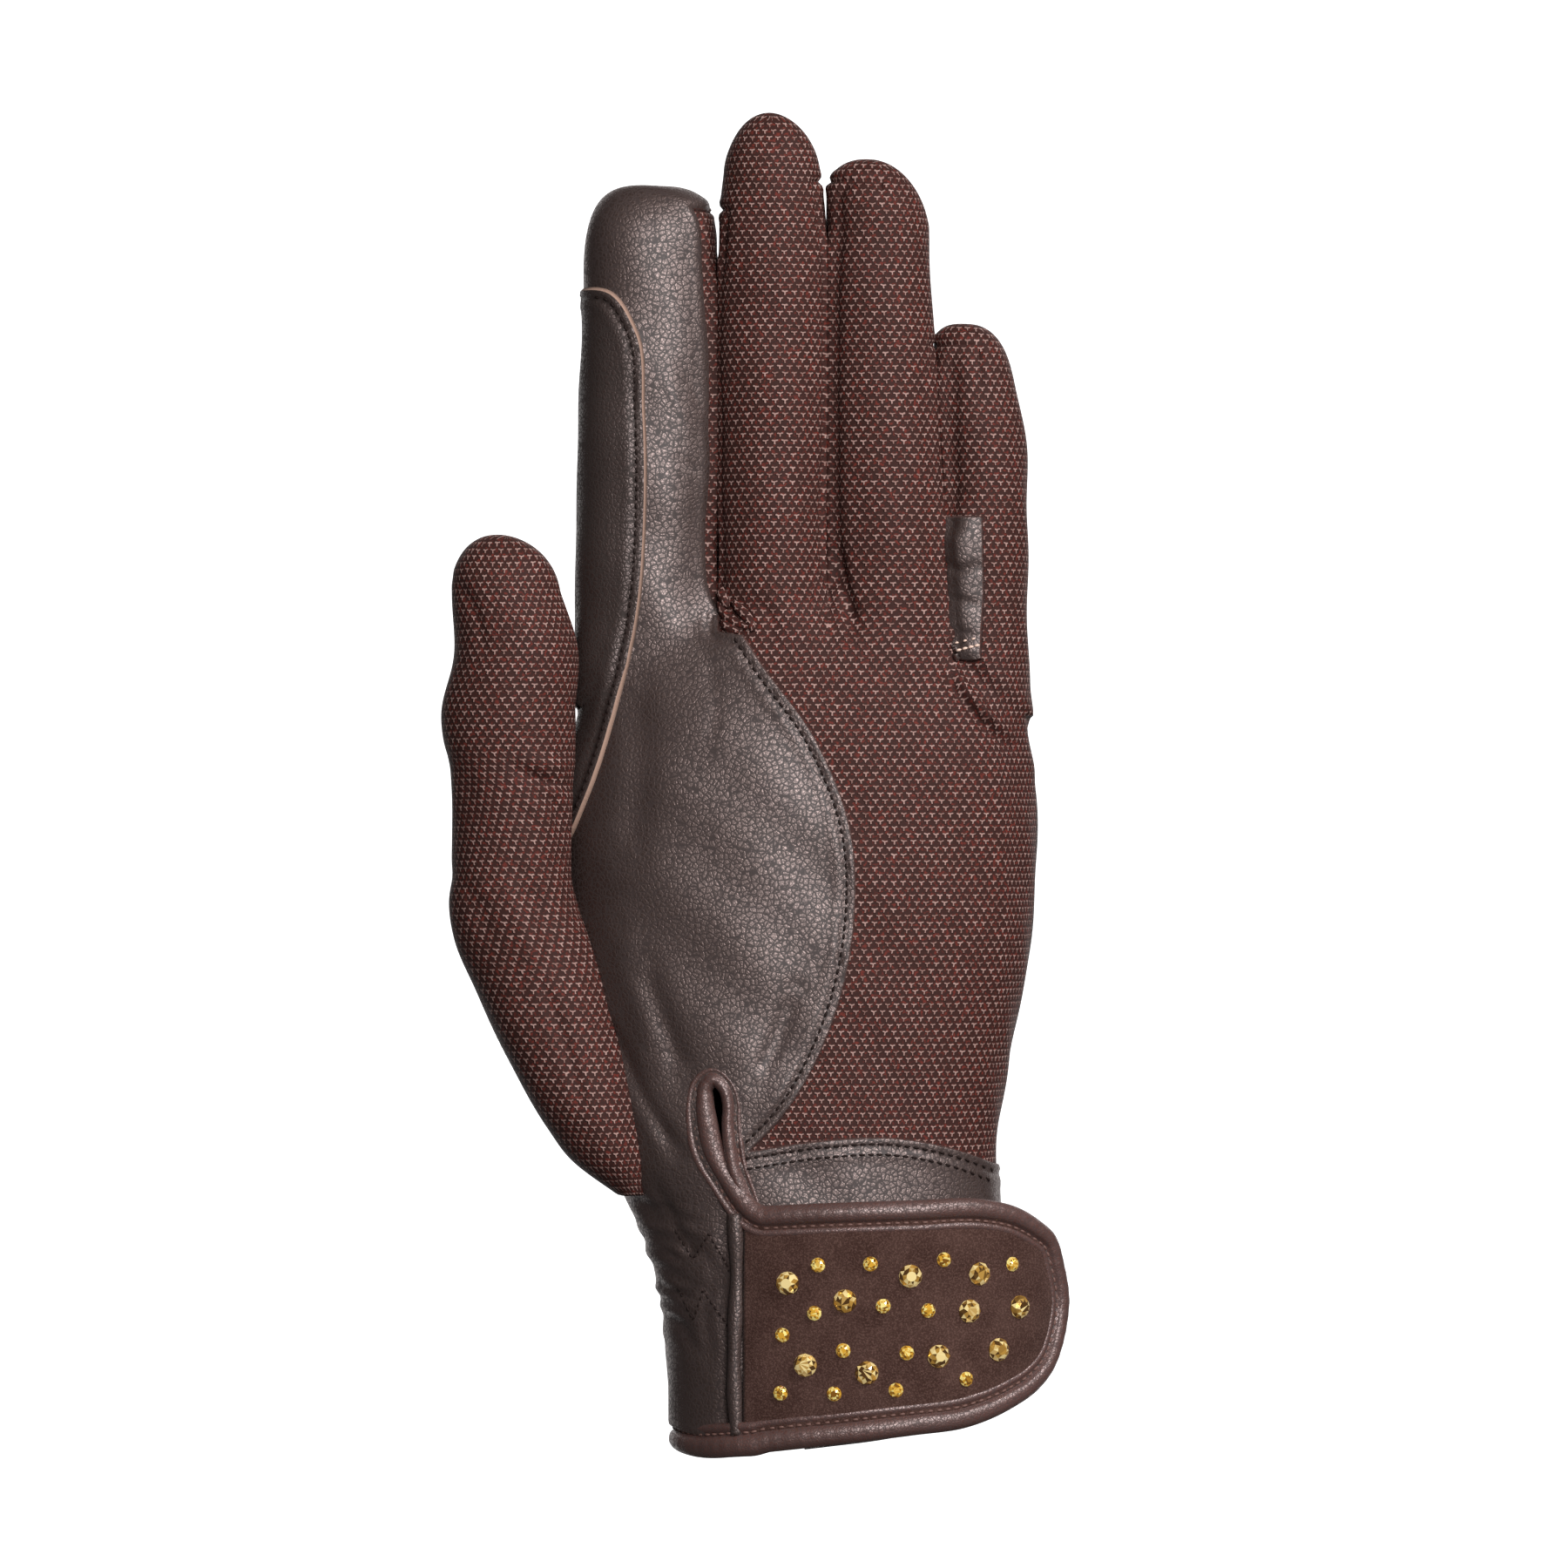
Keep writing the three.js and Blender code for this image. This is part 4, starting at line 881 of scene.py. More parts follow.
# Brushed suede: broad brush marks with fine fibres over them
def suede(name, look):
    material, tree, shader = newMaterial(name, look["color"], 0.95)
    place = inMillimetres(tree)
    brushed = soften(tree, noise(tree, place, 0.16, 4.0), 0.3, 0.7)
    fibres = soften(tree, noise(tree, place, 3.2, 2.0), 0.4, 0.72)
    nap = calc(tree, "ADD", calc(tree, "MULTIPLY", brushed, 0.3), calc(tree, "MULTIPLY", fibres, 0.7))
    tree.links.new(blend(tree, nap, look["color"], look["lightColor"]), shader.inputs["Base Color"])
    addBump(tree, shader, noise(tree, place, 5.0, 2.0), 0.12)
    shader.inputs["Sheen Weight"].default_value = 0.08
    shader.inputs["Sheen Roughness"].default_value = 0.4
    shader.inputs["Specular IOR Level"].default_value = 0.05
    return material


# Foiled glass: every facet is painted with its own reflection, a dark, mid or light tone picked at random, and
# glows a little with it
def crystal(name, look):
    material, tree, shader = newMaterial(name, look["color"], 0.1)
    facing = addNode(tree, "NewGeometry").outputs["True Normal"]
    facing = addNode(tree, "VectorMath", {0: facing, "Scale": 9.0}, operation="SCALE").outputs[0]
    facing = addNode(tree, "VectorMath", {0: facing}, operation="FLOOR").outputs[0]
    spot = addNode(tree, "ObjectInfo").outputs["Random"]
    facing = addNode(tree, "VectorMath", {0: facing, 1: spot}, operation="ADD").outputs[0]
    pick = addNode(tree, "TexWhiteNoise", {"Vector": facing}, noise_dimensions="3D").outputs["Value"]
    tone = blend(tree, soften(tree, pick, 0.2, 0.45), look["darkReflectionColor"], look["color"])
    tone = blend(tree, soften(tree, pick, 0.6, 0.85), tone, look["lightColor"])
    tree.links.new(tone, shader.inputs["Base Color"])
    # Painted glow: the painted facet tones shine out as emission.
    tree.links.new(tone, shader.inputs["Emission Color"])
    shader.inputs["Emission Strength"].default_value = look["glow"]
    shader.inputs["Metallic"].default_value = 0.6
    shader.inputs["Coat Weight"].default_value = 1
    shader.inputs["Coat Roughness"].default_value = 0.02
    return material


# The crease colours are painted shade in the grain's creases.
leatherMaterial = leather("leather", {
    "color": (0.019, 0.0115, 0.0095), "lightColor": (0.026, 0.0165, 0.014),
    "creaseShadeColor": (0.005, 0.0025, 0.0025),
    "roughness": 0.38, "gloss": 1.0, "wax": 0.28, "shine": (1, 0.8, 0.76), "grain": 0.95, "depth": 0.05,
})
darkLeatherMaterial = leather("darkLeather", {
    "color": (0.019, 0.011, 0.0095), "lightColor": (0.026, 0.016, 0.014),
    "creaseShadeColor": (0.007, 0.004, 0.003),
    "roughness": 0.4, "gloss": 0.8, "wax": 0.1, "shine": (1, 0.82, 0.79), "grain": 0.85, "depth": 0.05,
})
edgingMaterial = leather("edging", {
    "color": (0.052, 0.021, 0.016), "lightColor": (0.070, 0.030, 0.024),
    "creaseShadeColor": (0.026, 0.010, 0.008),
    "roughness": 0.34, "gloss": 1.0, "wax": 0.3, "shine": (1, 0.84, 0.82), "grain": 0.7, "depth": 0.03,
})
# The hole colour is painted shade, the glint colour a painted red glint.
knitMaterial = knitted("knit", {
    "yarnColor": (0.17, 0.095, 0.082), "lightColor": (0.44, 0.29, 0.26),
    "holeShadeColor": (0.031, 0.0125, 0.0105),
    "glintColor": (0.10, 0.019, 0.014), "across": 1.7, "along": 1.2, "depth": 0.35,
    "roughness": 0.6, "gloss": 0.05, "sheen": 0.02,
})
suedeMaterial = suede("suede", {"color": (0.031, 0.0145, 0.0115), "lightColor": (0.082, 0.045, 0.037)})
# The stones' three facet colours are painted reflections, and glow is their painted glow.
stoneMaterial = crystal("stone", {
    "color": (0.50, 0.27, 0.05), "lightColor": (1.0, 0.79, 0.36),
    "darkReflectionColor": (0.09, 0.04, 0.010), "glow": 0.25,
})
smallStoneMaterial = crystal("smallStone", {
    "color": (0.75, 0.40, 0.04), "lightColor": (1.0, 0.85, 0.30),
    "darkReflectionColor": (0.22, 0.09, 0.01), "glow": 0.3,
})
rawMaterial, _, _ = newMaterial("rawEdge", (0.26, 0.16, 0.12), 0.85)
# The seam thread is dark brown, painted darker still as the shade of the groove it lies in.
shadedThreadMaterial, _, shader = newMaterial("thread", (0.012, 0.006, 0.005), 0.7)
shader.inputs["Specular IOR Level"].default_value = 0.15
paleThreadMaterial, _, _ = newMaterial("paleThread", (0.6, 0.42, 0.34), 0.7)
edgeThreadMaterial, _, _ = newMaterial("edgeThread", (0.10, 0.046, 0.036), 0.7)
print("finishes ready")

skinPoints, skinNormals, own, triangles = handSkin(gridStep)
skinPoints = relax(skinPoints, triangles, knuckleShare(skinPoints, own), 80)
weave = knitPlace(skinPoints, own)
skinPoints = skinPoints + skinNormals * handRelief(skinPoints, own)[:, None]
skin = np.hstack([skinPoints, skinNormals, weave, own[:, None]])
print("skin of the hand:", len(triangles), "triangles")
skin, triangles, sides = splitAt(skin, triangles, seams)
shown = sides["hem"] & ~sides["slit"]
stripSides = [sides[f"strip{i}"] for i in range(3)]
free = shown & ~stripSides[0] & ~stripSides[1] & ~stripSides[2]
front = free & sides["side"]
onLeather = front & sides["leather"]
panelPoints, panelFaces = [], []
panels = [
    {"name": "palmPanel", "node": "palm_leather", "slot": "dark_leather", "material": darkLeatherMaterial,
     "keep": free & ~sides["side"], "lift": 0.12, "thickness": 1, "slope": 0.3},
    {"name": "backKnit", "node": "back_mesh", "slot": "knit", "material": knitMaterial,
     "keep": front & ~sides["leather"], "lift": 0, "thickness": 1, "slope": 0.0},
    {"name": "backLeather", "node": "back_leather", "slot": "leather", "material": leatherMaterial,
     "keep": onLeather & ~sides["band"], "lift": 0.45, "thickness": 1, "slope": 0.3},
    {"name": "wristBand", "node": "wrist_band", "slot": "leather", "material": leatherMaterial,
     "keep": onLeather & sides["band"], "lift": 0.5, "thickness": 1.05, "slope": 0.3},
    {"name": "indexStrip", "node": "fourchette_index_middle", "slot": "knit", "material": knitMaterial,
     "keep": shown & stripSides[0], "lift": 0, "thickness": 1, "slope": 0.0},
    {"name": "middleStrip", "node": "fourchette_middle_ring", "slot": "knit", "material": knitMaterial,
     "keep": shown & stripSides[1], "lift": 0, "thickness": 1, "slope": 0.0},
    {"name": "ringStrip", "node": "fourchette_ring_little", "slot": "knit", "material": knitMaterial,
     "keep": shown & stripSides[2], "lift": 0, "thickness": 1, "slope": 0.0},
    {"name": "sidePatch", "node": "index_side_patch", "slot": "dark_leather", "material": darkLeatherMaterial,
     "keep": shown & sides["side"] & sides["sidePatch"], "lift": 1.1, "thickness": 0.6, "slope": 0.55},
    {"name": "littlePatch", "node": "little_finger_patch", "slot": "leather", "material": leatherMaterial,
     "keep": shown & sides["littlePatch"], "lift": 0.8, "thickness": 0.6, "slope": 0.3},
]
for panel in panels:
    points, faces, weave, rimCount = cutPanel(
        skin, triangles, panel["keep"], panel["lift"], panel["thickness"], 30, panel["slope"],
    )
    piece = place(addMesh(panel["name"], points, faces, weave), panel["slot"], panel["material"], panel["node"])
    if panel["slot"] != "knit":
        markRim(piece, rimCount, rawMaterial if panel["name"] == "sidePatch" else edgingMaterial)
    panelFaces.append(faces + sum(map(len, panelPoints)))
    panelPoints.append(points)
    print("panel", panel["name"], len(faces), "triangles")
panelTree = BVHTree.FromPolygons(np.vstack(panelPoints).tolist(), np.vstack(panelFaces).tolist())

thumbPoints, thumbNormals, own, triangles = thumbSkin(gridStep)
weave = knitPlace(thumbPoints, own)
thumbPoints = thumbPoints + thumbNormals * thumbRelief(thumbPoints, own)[:, None]
thumb = np.hstack([thumbPoints, thumbNormals, weave, own[:, None]])
thumb, triangles, sides = splitAt(thumb, triangles, thumbSeams)
thumbPanels = [
    {"name": "thumbKnit", "node": "thumb_mesh", "slot": "knit", "material": knitMaterial,
     "keep": sides["outside"] & sides["side"]},
    {"name": "thumbLeather", "node": "thumb_leather", "slot": "dark_leather", "material": darkLeatherMaterial,
     "keep": sides["outside"] & ~sides["side"]},
]
for panel in thumbPanels:
    points, faces, weave, _ = cutPanel(thumb, triangles, panel["keep"], 0.1, 1, 0)
    place(addMesh(panel["name"], points, faces, weave), panel["slot"], panel["material"], panel["node"])
    print("panel", panel["name"], len(faces), "triangles")

# The strap, bent round the wrist
strapShape = {
    "length": 62.9, "width": 43.4, "thickness": 1.8, "crestX": 8, "crestY": -21.5, "seamX": -14,
    "outerRadius": 45, "innerRadius": 62, "edgeWidth": 4.4, "swell": 0.35,
}
strapOutline = [
    (0, 0.466), (0.235, 0.485), (0.48, 0.496), (0.69, 0.496), (0.81, 0.455), (0.882, 0.402), (0.936, 0.348),
    (0.978, 0.22), (1, 0.066), (0.98, -0.077), (0.929, -0.218), (0.874, -0.288), (0.784, -0.356),
    (0.636, -0.429), (0.48, -0.456), (0.227, -0.5), (0, -0.54),
]
strapOutline = smoothLine([(a * strapShape["length"], b * strapShape["width"]) for a, b in strapOutline], 0.8)
toCrest = strapShape["crestX"] - strapShape["seamX"]
innerRun = strapShape["innerRadius"] * math.asin(toCrest / strapShape["innerRadius"])


def onStrap(along, up, height):
    fromCrest = along - innerRun
    radius = np.where(fromCrest > 0, strapShape["outerRadius"], strapShape["innerRadius"])
    turn = fromCrest / radius
    normals = np.stack([np.sin(turn), -np.cos(turn), np.zeros_like(turn)], axis=1)
    x = strapShape["crestX"] + radius * np.sin(turn)
    y = strapShape["crestY"] + radius - radius * np.cos(turn)
    return np.stack([x, y, up + np.zeros_like(x)], axis=1) + normals * np.asarray(height)[..., None], normals


def offsetLine(line, distance):
    run = np.gradient(line, axis=0)
    run /= np.linalg.norm(run, axis=1)[:, None]
    return line + distance * np.stack([run[:, 1], -run[:, 0]], axis=1)


# A flat sheet of the strap cut to its outline, then bent. The nap side swells a little.
def strapSheet(step):
    inner = offsetLine(strapOutline, strapShape["edgeWidth"] - 1.0)
    inner = np.vstack([inner, inner[:1]])
    along, up = np.meshgrid(np.arange(0, 62, step), np.arange(-23, 23, step), indexing="ij")
    points = np.stack([along.ravel(), up.ravel()], axis=1)
    number = np.arange(along.size).reshape(along.shape)
    quads = np.stack([number[:-1, :-1], number[1:, :-1], number[1:, 1:], number[:-1, 1:]], axis=-1)
    quads = quads.reshape(-1, 4)
    triangles = np.vstack([quads[:, [0, 1, 2]], quads[:, [0, 2, 3]]])
    inside = lineDistance(points[:, 0], points[:, 1], inner)
    flat, triangles = splitAlong(points, triangles, inside)
    middle = flat[triangles].mean(1)
    triangles = triangles[lineDistance(middle[:, 0], middle[:, 1], inner) > 0]
    used, index = np.unique(triangles, return_inverse=True)
    flat, triangles = flat[used], index.reshape(-1, 3)
    depth = np.abs(lineDistance(flat[:, 0], flat[:, 1], inner))
    swell = strapShape["swell"] * smoothStep(depth, 0, 5)
    swell = swell + 0.05 * np.sin(flat[:, 0] / 3.7) * np.sin(flat[:, 1] / 4.9 + flat[:, 0] / 9)
    front, _ = onStrap(flat[:, 0], flat[:, 1], 0.45 + swell)
    back, _ = onStrap(flat[:, 0], flat[:, 1], np.full(len(flat), -strapShape["thickness"] / 2))
    a, b = borderEdges(triangles).T
    n = len(flat)
    rim = np.vstack([np.stack([b, a, a + n], 1), np.stack([b, a + n, b + n], 1)])
    return np.vstack([front, back]), np.vstack([triangles, triangles[:, ::-1] + n, rim])


points, faces = strapSheet(0.6)
place(addMesh("strapPanel", points, faces), "suede", suedeMaterial, "strap_panel")
print("strap", len(faces), "triangles")


# Edging: a strip folded over the edge, round on the outside, with a sewn groove and a flat lip inside
edgeProfile = smoothLine([
    (0.5, -0.3), (0.5, 0.05), (0.45, 0.2), (0.36, 0.24), (0.27, 0.16), (0.2, 0.05), (0.13, 0.17), (0.03, 0.38),
    (-0.12, 0.48), (-0.28, 0.45), (-0.41, 0.3), (-0.49, 0.08), (-0.49, -0.15), (-0.4, -0.38), (-0.2, -0.49),
    (0.15, -0.49), (0.42, -0.44), (0.5, -0.3),
], 0.05)[:-1]
turn = np.linspace(-0.5, 2 * math.pi - 0.5, len(edgeProfile), endpoint=False)
rollProfile = np.stack([np.cos(turn), np.sin(turn)], axis=1) / 2


def sweep(places, normals, width, thickness, lip, pucker=0.0):
    run = np.gradient(places, axis=0)
    run /= np.linalg.norm(run, axis=1)[:, None]
    across = np.cross(run, normals)
    across /= np.linalg.norm(across, axis=1)[:, None]
    out = np.cross(across, run)
    shape = rollProfile + lip[:, None, None] * (edgeProfile - rollProfile)
    length = lineRun(places)
    wave = 1 + pucker * np.sin(length * 2 * math.pi / 2.3)[:, None] * (shape[..., 1] > 0.1)
    wave = wave + 0.02 * np.sin(length / 1.9 + 2 * np.sin(length / 5))[:, None]
    rings = (places[:, None] + across[:, None] * (shape[..., 0] * width[:, None])[..., None]
             + out[:, None] * (shape[..., 1] * wave * thickness[:, None])[..., None])
    count, sides = rings.shape[:2]
    number = np.arange(count * sides).reshape(count, sides)
    nextSide = np.roll(number, -1, axis=1)
    a, b, c, d = number[:-1], nextSide[:-1], nextSide[1:], number[1:]
    faces = np.vstack([np.stack([a, c, b], -1).reshape(-1, 3), np.stack([a, d, c], -1).reshape(-1, 3)])
    points = rings.reshape(-1, 3)
    for ring, middle in ((number[0], places[0]), (number[-1][::-1], places[-1])):
        faces = np.vstack([faces, np.stack([np.full(sides, len(points)), ring, np.roll(ring, -1)], 1)])
        points = np.vstack([points, middle])
    return points, faces, across, out


def hemPlaces(turns):
    row = [column[0] for column in handBody["table"].T]
    centre, half, front, back = row[0], row[1] - 0.6, row[2] - 0.6, row[3] - 0.6
    angle, power = 2 * math.pi * turns, 2 / handBody["power"]
    x = centre + half * np.sign(np.cos(angle)) * np.abs(np.cos(angle)) ** power
    sine = np.sign(np.sin(angle)) * np.abs(np.sin(angle)) ** power
    y = np.where(sine > 0, back, front) * sine
    return np.stack([x, y, np.interp(x, *hemLine.T)], axis=1)


def hemStations(turns):
    run = hemPlaces(turns + 0.002) - hemPlaces(turns - 0.002)
    normals = np.stack([run[:, 1], -run[:, 0], 0 * turns], axis=1)
    return hemPlaces(turns), normals / np.linalg.norm(normals, axis=1)[:, None]


def joined(parts):
    points, faces, start = [], [], 0
    for p, f in parts:
        points.append(p)
        faces.append(f + start)
        start += len(p)
    return np.vstack(points), np.vstack(faces)


def stations(places, normals, width, thickness, lip):
    return np.column_stack([places, normals] + [v + np.zeros(len(places)) for v in (width, thickness, lip)])


ventEdging = {
    "foot": [(0.33, -1.15), (0.25, -0.92)],  # where it runs in under the strap's edging
    "widths": [3.8, 3.8, 3.9, 3.8, 3.6, 3.4, 3.3, 3.5, 4.1, 5.0, 5.8, 6.0, 5.3],
    "lips": [0.6, 0.6, 0.8, 0.9, 0.9, 0.8, 0.6, 0.6, 0.8, 1, 1, 1, 1],
    "thickness": 3.1, "sink": 0.2,
}
strapEdging = {
    "places": (10, 40, 60, 85, 105, 140), "widths": (5.6, 5.6, 4.9, 4.8, 5.6, 6.0), "thickness": 2.9,
    "seamGap": 3.5,  # it starts this far past the strap's seam
}
hemEdging = {
    "start": 0.668, "end": -0.285, "width": 4.6, "thickness": 2.4, "fullFrom": 0.42, "riseFrom": 0.59,
    "standOff": 0.1, "spacing": 0.55, "pucker": 0.03,
}
ventPath = np.array(ventCurve(ventEdging["foot"]) + ventRightSide + ventLoop + ventLeftSide)
ventPlaces, ventNormals = onSkin(*ventPath.T, lift=-ventEdging["sink"])
strapRun = lineRun(strapOutline)
edgeWidths = np.interp(strapRun, strapEdging["places"], strapEdging["widths"])
inset = offsetLine(strapOutline, edgeWidths[:, None] / 2)
strapPlaces, strapNormals = onStrap(inset[:, 0], inset[:, 1], np.zeros(len(inset)))
kept = strapPlaces[:, 0] > strapShape["seamX"] + strapEdging["seamGap"]
hemTurns = np.linspace(hemEdging["start"], hemEdging["end"], 150)
hemPath, hemNormals = hemStations(hemTurns)
thick = np.clip((hemTurns - hemEdging["fullFrom"]) / 0.2, 0, 1)[:, None]
rise = smoothStep(hemTurns, hemEdging["riseFrom"], hemEdging["start"])[:, None]  # up to the strap's edging
hemPath = hemPath + hemNormals * (hemEdging["standOff"] + 0.7 * thick + 1.5 * rise)
hemPath[:, 2] += 0.5 * thick[:, 0]
hemWidths = hemEdging["width"] + 1.5 * thick[:, 0]
hemDepths = hemEdging["thickness"] + 0.5 * thick[:, 0]
edgeRows = np.vstack([
    stations(ventPlaces, ventNormals, np.array(ventEdging["widths"]), ventEdging["thickness"],
             np.array(ventEdging["lips"])),
    stations(strapPlaces[kept], strapNormals[kept], edgeWidths[kept], strapEdging["thickness"], 1),
    stations(hemPath, hemNormals, hemWidths, hemDepths, 1),
])
_, edgeTable = smoothTable(lineRun(edgeRows[:, :3]), edgeRows, 4000)
run = lineRun(edgeTable[:, :3])
edgeTable = edgeTable[np.searchsorted(run, np.arange(0, run[-1], hemEdging["spacing"]))]
edgeNormals = edgeTable[:, 3:6] / np.linalg.norm(edgeTable[:, 3:6], axis=1)[:, None]
lip = np.clip(edgeTable[:, 8], 0, 1)
points, faces, edgeAcross, edgeOut = sweep(
    edgeTable[:, :3], edgeNormals, edgeTable[:, 6], edgeTable[:, 7], lip, hemEdging["pucker"],
)
seamRing = int(np.argmin(np.linalg.norm(edgeTable[:, :3] - hemPath[2], axis=1)))  # where the hem's part starts
onHem = faces.min(1) >= seamRing * len(edgeProfile)
for name, node, part in (("edging", "edge_binding", faces[~onHem]), ("hemEdging", "hem_binding", faces[onHem])):
    used, index = np.unique(part, return_inverse=True)
    place(addMesh(name, points[used], index.reshape(-1, 3)), "edging", edgingMaterial, node)
print("edging", round(float(run[-1]), 1), "mm long, vent and strap", round(seamRing * hemEdging["spacing"], 1))

# The cuff's leather is folded up against the strap.
cuffFold = {"x": -15.5, "y": -16.9, "topZ": 19, "footZ": -20, "size": 2.6, "rings": 60}
foldZ = np.linspace(cuffFold["topZ"], cuffFold["footZ"], cuffFold["rings"])
foldX = cuffFold["x"] + 0.25 * np.sin(foldZ / 5)
foldY = cuffFold["y"] + 0.15 * np.sin(foldZ / 3.1)
foldPlaces = np.stack([foldX, foldY, foldZ], axis=1)
foldNormals = np.tile((-0.35, -0.94, 0.0), (cuffFold["rings"], 1))
foldSize = cuffFold["size"] + 0.3 * np.sin(foldZ / 2.3 + 1)
points, faces, _, _ = sweep(foldPlaces, foldNormals, foldSize, 0.9 * foldSize, np.zeros(cuffFold["rings"]))
place(addMesh("cuffFold", points, faces), "leather", leatherMaterial)
print("cuff fold", len(faces), "triangles")

# The knit is gathered into a small knot where index and middle finger part.
knot = {
    "rolls": [
        [(-18.3, 126.8), (-17.2, 124.6), (-15.2, 122.9), (-12.9, 122.2)],
        [(-17.9, 123.4), (-16.6, 122.1), (-14.9, 121.5)],
        [(-15.9, 127.0), (-14.6, 125.4), (-13.2, 123.6), (-12.4, 121.6)],
        [(-18.2, 129.5), (-17.4, 127.4), (-16.6, 125.9)],
    ],
    "size": 1.9, "lift": 0.35, "spacing": 0.35, "girth": 5.5,
}
parts, partWeave = [], []
for roll in knot["rolls"]:
    line = smoothLine(roll, knot["spacing"])
    rollPlaces, rollNormals = onSkin(line[:, 0], line[:, 1], knot["lift"])
    share = np.linspace(-1, 1, len(line))
    size = knot["size"] * np.sqrt(1 - 0.8 * share**2)
    points, faces, _, _ = sweep(rollPlaces, rollNormals, size, 0.95 * size, np.zeros(len(line)))
    sides = len(edgeProfile)
    along = np.r_[np.repeat(knot["spacing"] * np.arange(len(line)), sides), 0, 0]
    around = np.r_[np.tile(np.arange(sides) * knot["girth"] / sides, len(line)), 0, 0]
    parts.append((points, faces))
    partWeave.append(np.stack([along, around], axis=1))
points, faces = joined(parts)
place(addMesh("gather", points, faces, np.vstack(partWeave)), "knit", knitMaterial)
print("gathered knot", len(faces), "triangles")


stoneShape = {
    "sides": 10, "rings": [(0.5, 0.0), (0.5, 0.06), (0.38, 0.22), (0.22, 0.33)],  # radius and height by width
    "lift": 0.78, "large": 4.1, "small": 2.6,
}


# Stones: a round foot, two rings of facets and a flat table
def addStone(name, node, along, up, diameter, turn, material):
    sides, rings = stoneShape["sides"], stoneShape["rings"]
    places = []
    for k, (radius, height) in enumerate(rings):
        for i in range(sides):
            angle = turn + 2 * math.pi * (i + 0.5 * (k % 2)) / sides
            places.append((radius * math.cos(angle), radius * math.sin(angle), height))
    faces = []
    for k in range(len(rings) - 1):
        for i in range(sides):
            a, b = k * sides + i, k * sides + (i + 1) % sides
            c, d = a + sides, b + sides
            faces += [(a, b, c), (b, d, c)] if k % 2 == 0 else [(a, b, d), (a, d, c)]
    top = 3 * sides
    faces += [(top, top + i, top + i + 1) for i in range(1, sides - 1)]
    middle, normal = onStrap(np.array([along]), np.array([up]), np.array([stoneShape["lift"]]))
    side = np.cross(normal[0], (0, 0, 1))
    rise = np.cross(side, normal[0])
    axes = np.stack([side, rise, normal[0]])
    points = middle + (np.array(places) * diameter) @ axes
    if np.dot(np.cross(side, rise), normal[0]) < 0:
        faces = [face[::-1] for face in faces]
    place(addMesh(name, points, np.array(faces), smooth=False), "stone", material, node)


largeStones = [
    (0.13, 0.16), (0.29, 0.09), (0.47, 0.19), (0.67, 0.195), (0.64, 0.045),
    (0.8, 0.055), (0.73, -0.115), (0.55, -0.135), (0.35, -0.2), (0.18, -0.17),
]
smallStones = [
    (0.215, 0.235), (0.36, 0.24), (0.565, 0.255), (0.775, 0.23), (0.205, 0.04), (0.395, 0.07), (0.52, 0.05),
    (0.115, -0.05), (0.285, -0.11), (0.46, -0.12), (0.11, -0.285), (0.26, -0.285), (0.43, -0.27), (0.63, -0.23),
]
random = np.random.default_rng(5)
stoneKinds = [("large", largeStones, stoneMaterial), ("small", smallStones, smallStoneMaterial)]
for kind, spots, material in stoneKinds:
    for i, (a, b) in enumerate(spots, start=1):
        turn = random.uniform(0, 2 * math.pi)
        along, up = a * strapShape["length"], b * strapShape["width"]
        addStone(f"{kind}Stone{i}", f"stone_{kind}_{i:02d}", along, up, stoneShape[kind], turn, material)
    print(kind, "stones", len(spots))


# Stitches: short bars of thread that rise out of the leather and go back in
def stitchMesh(middles, runs, outs, length, radius):
    t = np.linspace(-1, 1, 7)
    angle = np.linspace(0, 2 * math.pi, 6, endpoint=False)
    runs = runs / np.linalg.norm(runs, axis=1)[:, None]
    sides = np.cross(runs, outs)
    sides /= np.linalg.norm(sides, axis=1)[:, None]
    size = radius * np.sqrt(1 - (0.92 * t) ** 2)
    along = t * length / 2
    lift = radius * (0.75 - 1.1 * t**4)
    around, up = size[:, None] * np.cos(angle), lift[:, None] + size[:, None] * np.sin(angle)
    local = np.stack([np.repeat(along[:, None], 6, 1), around, up], axis=-1).reshape(-1, 3)
    axes = np.stack([runs, sides, outs], axis=1)
    points = middles[:, None] + np.einsum("kj,njd->nkd", local, axes)
    ring = np.arange(42).reshape(7, 6)
    a, b, c, d = ring[:-1], np.roll(ring, -1, 1)[:-1], np.roll(ring, -1, 1)[1:], ring[1:]
    one = np.vstack([np.stack([a, b, c], -1).reshape(-1, 3), np.stack([a, c, d], -1).reshape(-1, 3)])
    faces = (one[None] + 42 * np.arange(len(middles))[:, None, None]).reshape(-1, 3)
    return points.reshape(-1, 3), faces


def seamStitches(line, lift, pitch, length, radius):
    line = evenLine(np.array(line, float), pitch)
    run = np.gradient(line, axis=0)
    _, outs = onSkin(line[:, 0], line[:, 1])
    hits = [panelTree.ray_cast((x, -60, z), (0, 1, 0))[0] for x, z in line]
    seen = np.array([hit is not None for hit in hits]) & (outs[:, 1] < -0.25)
    middles = np.array([hit or (0, 0, 0) for hit in hits]) + lift * outs
    runs = np.stack([run[:, 0], 0 * run[:, 0], run[:, 1]], axis=1)
    runs -= np.sum(runs * outs, axis=1)[:, None] * outs
    return stitchMesh(middles[seen], runs[seen], outs[seen], length, radius)


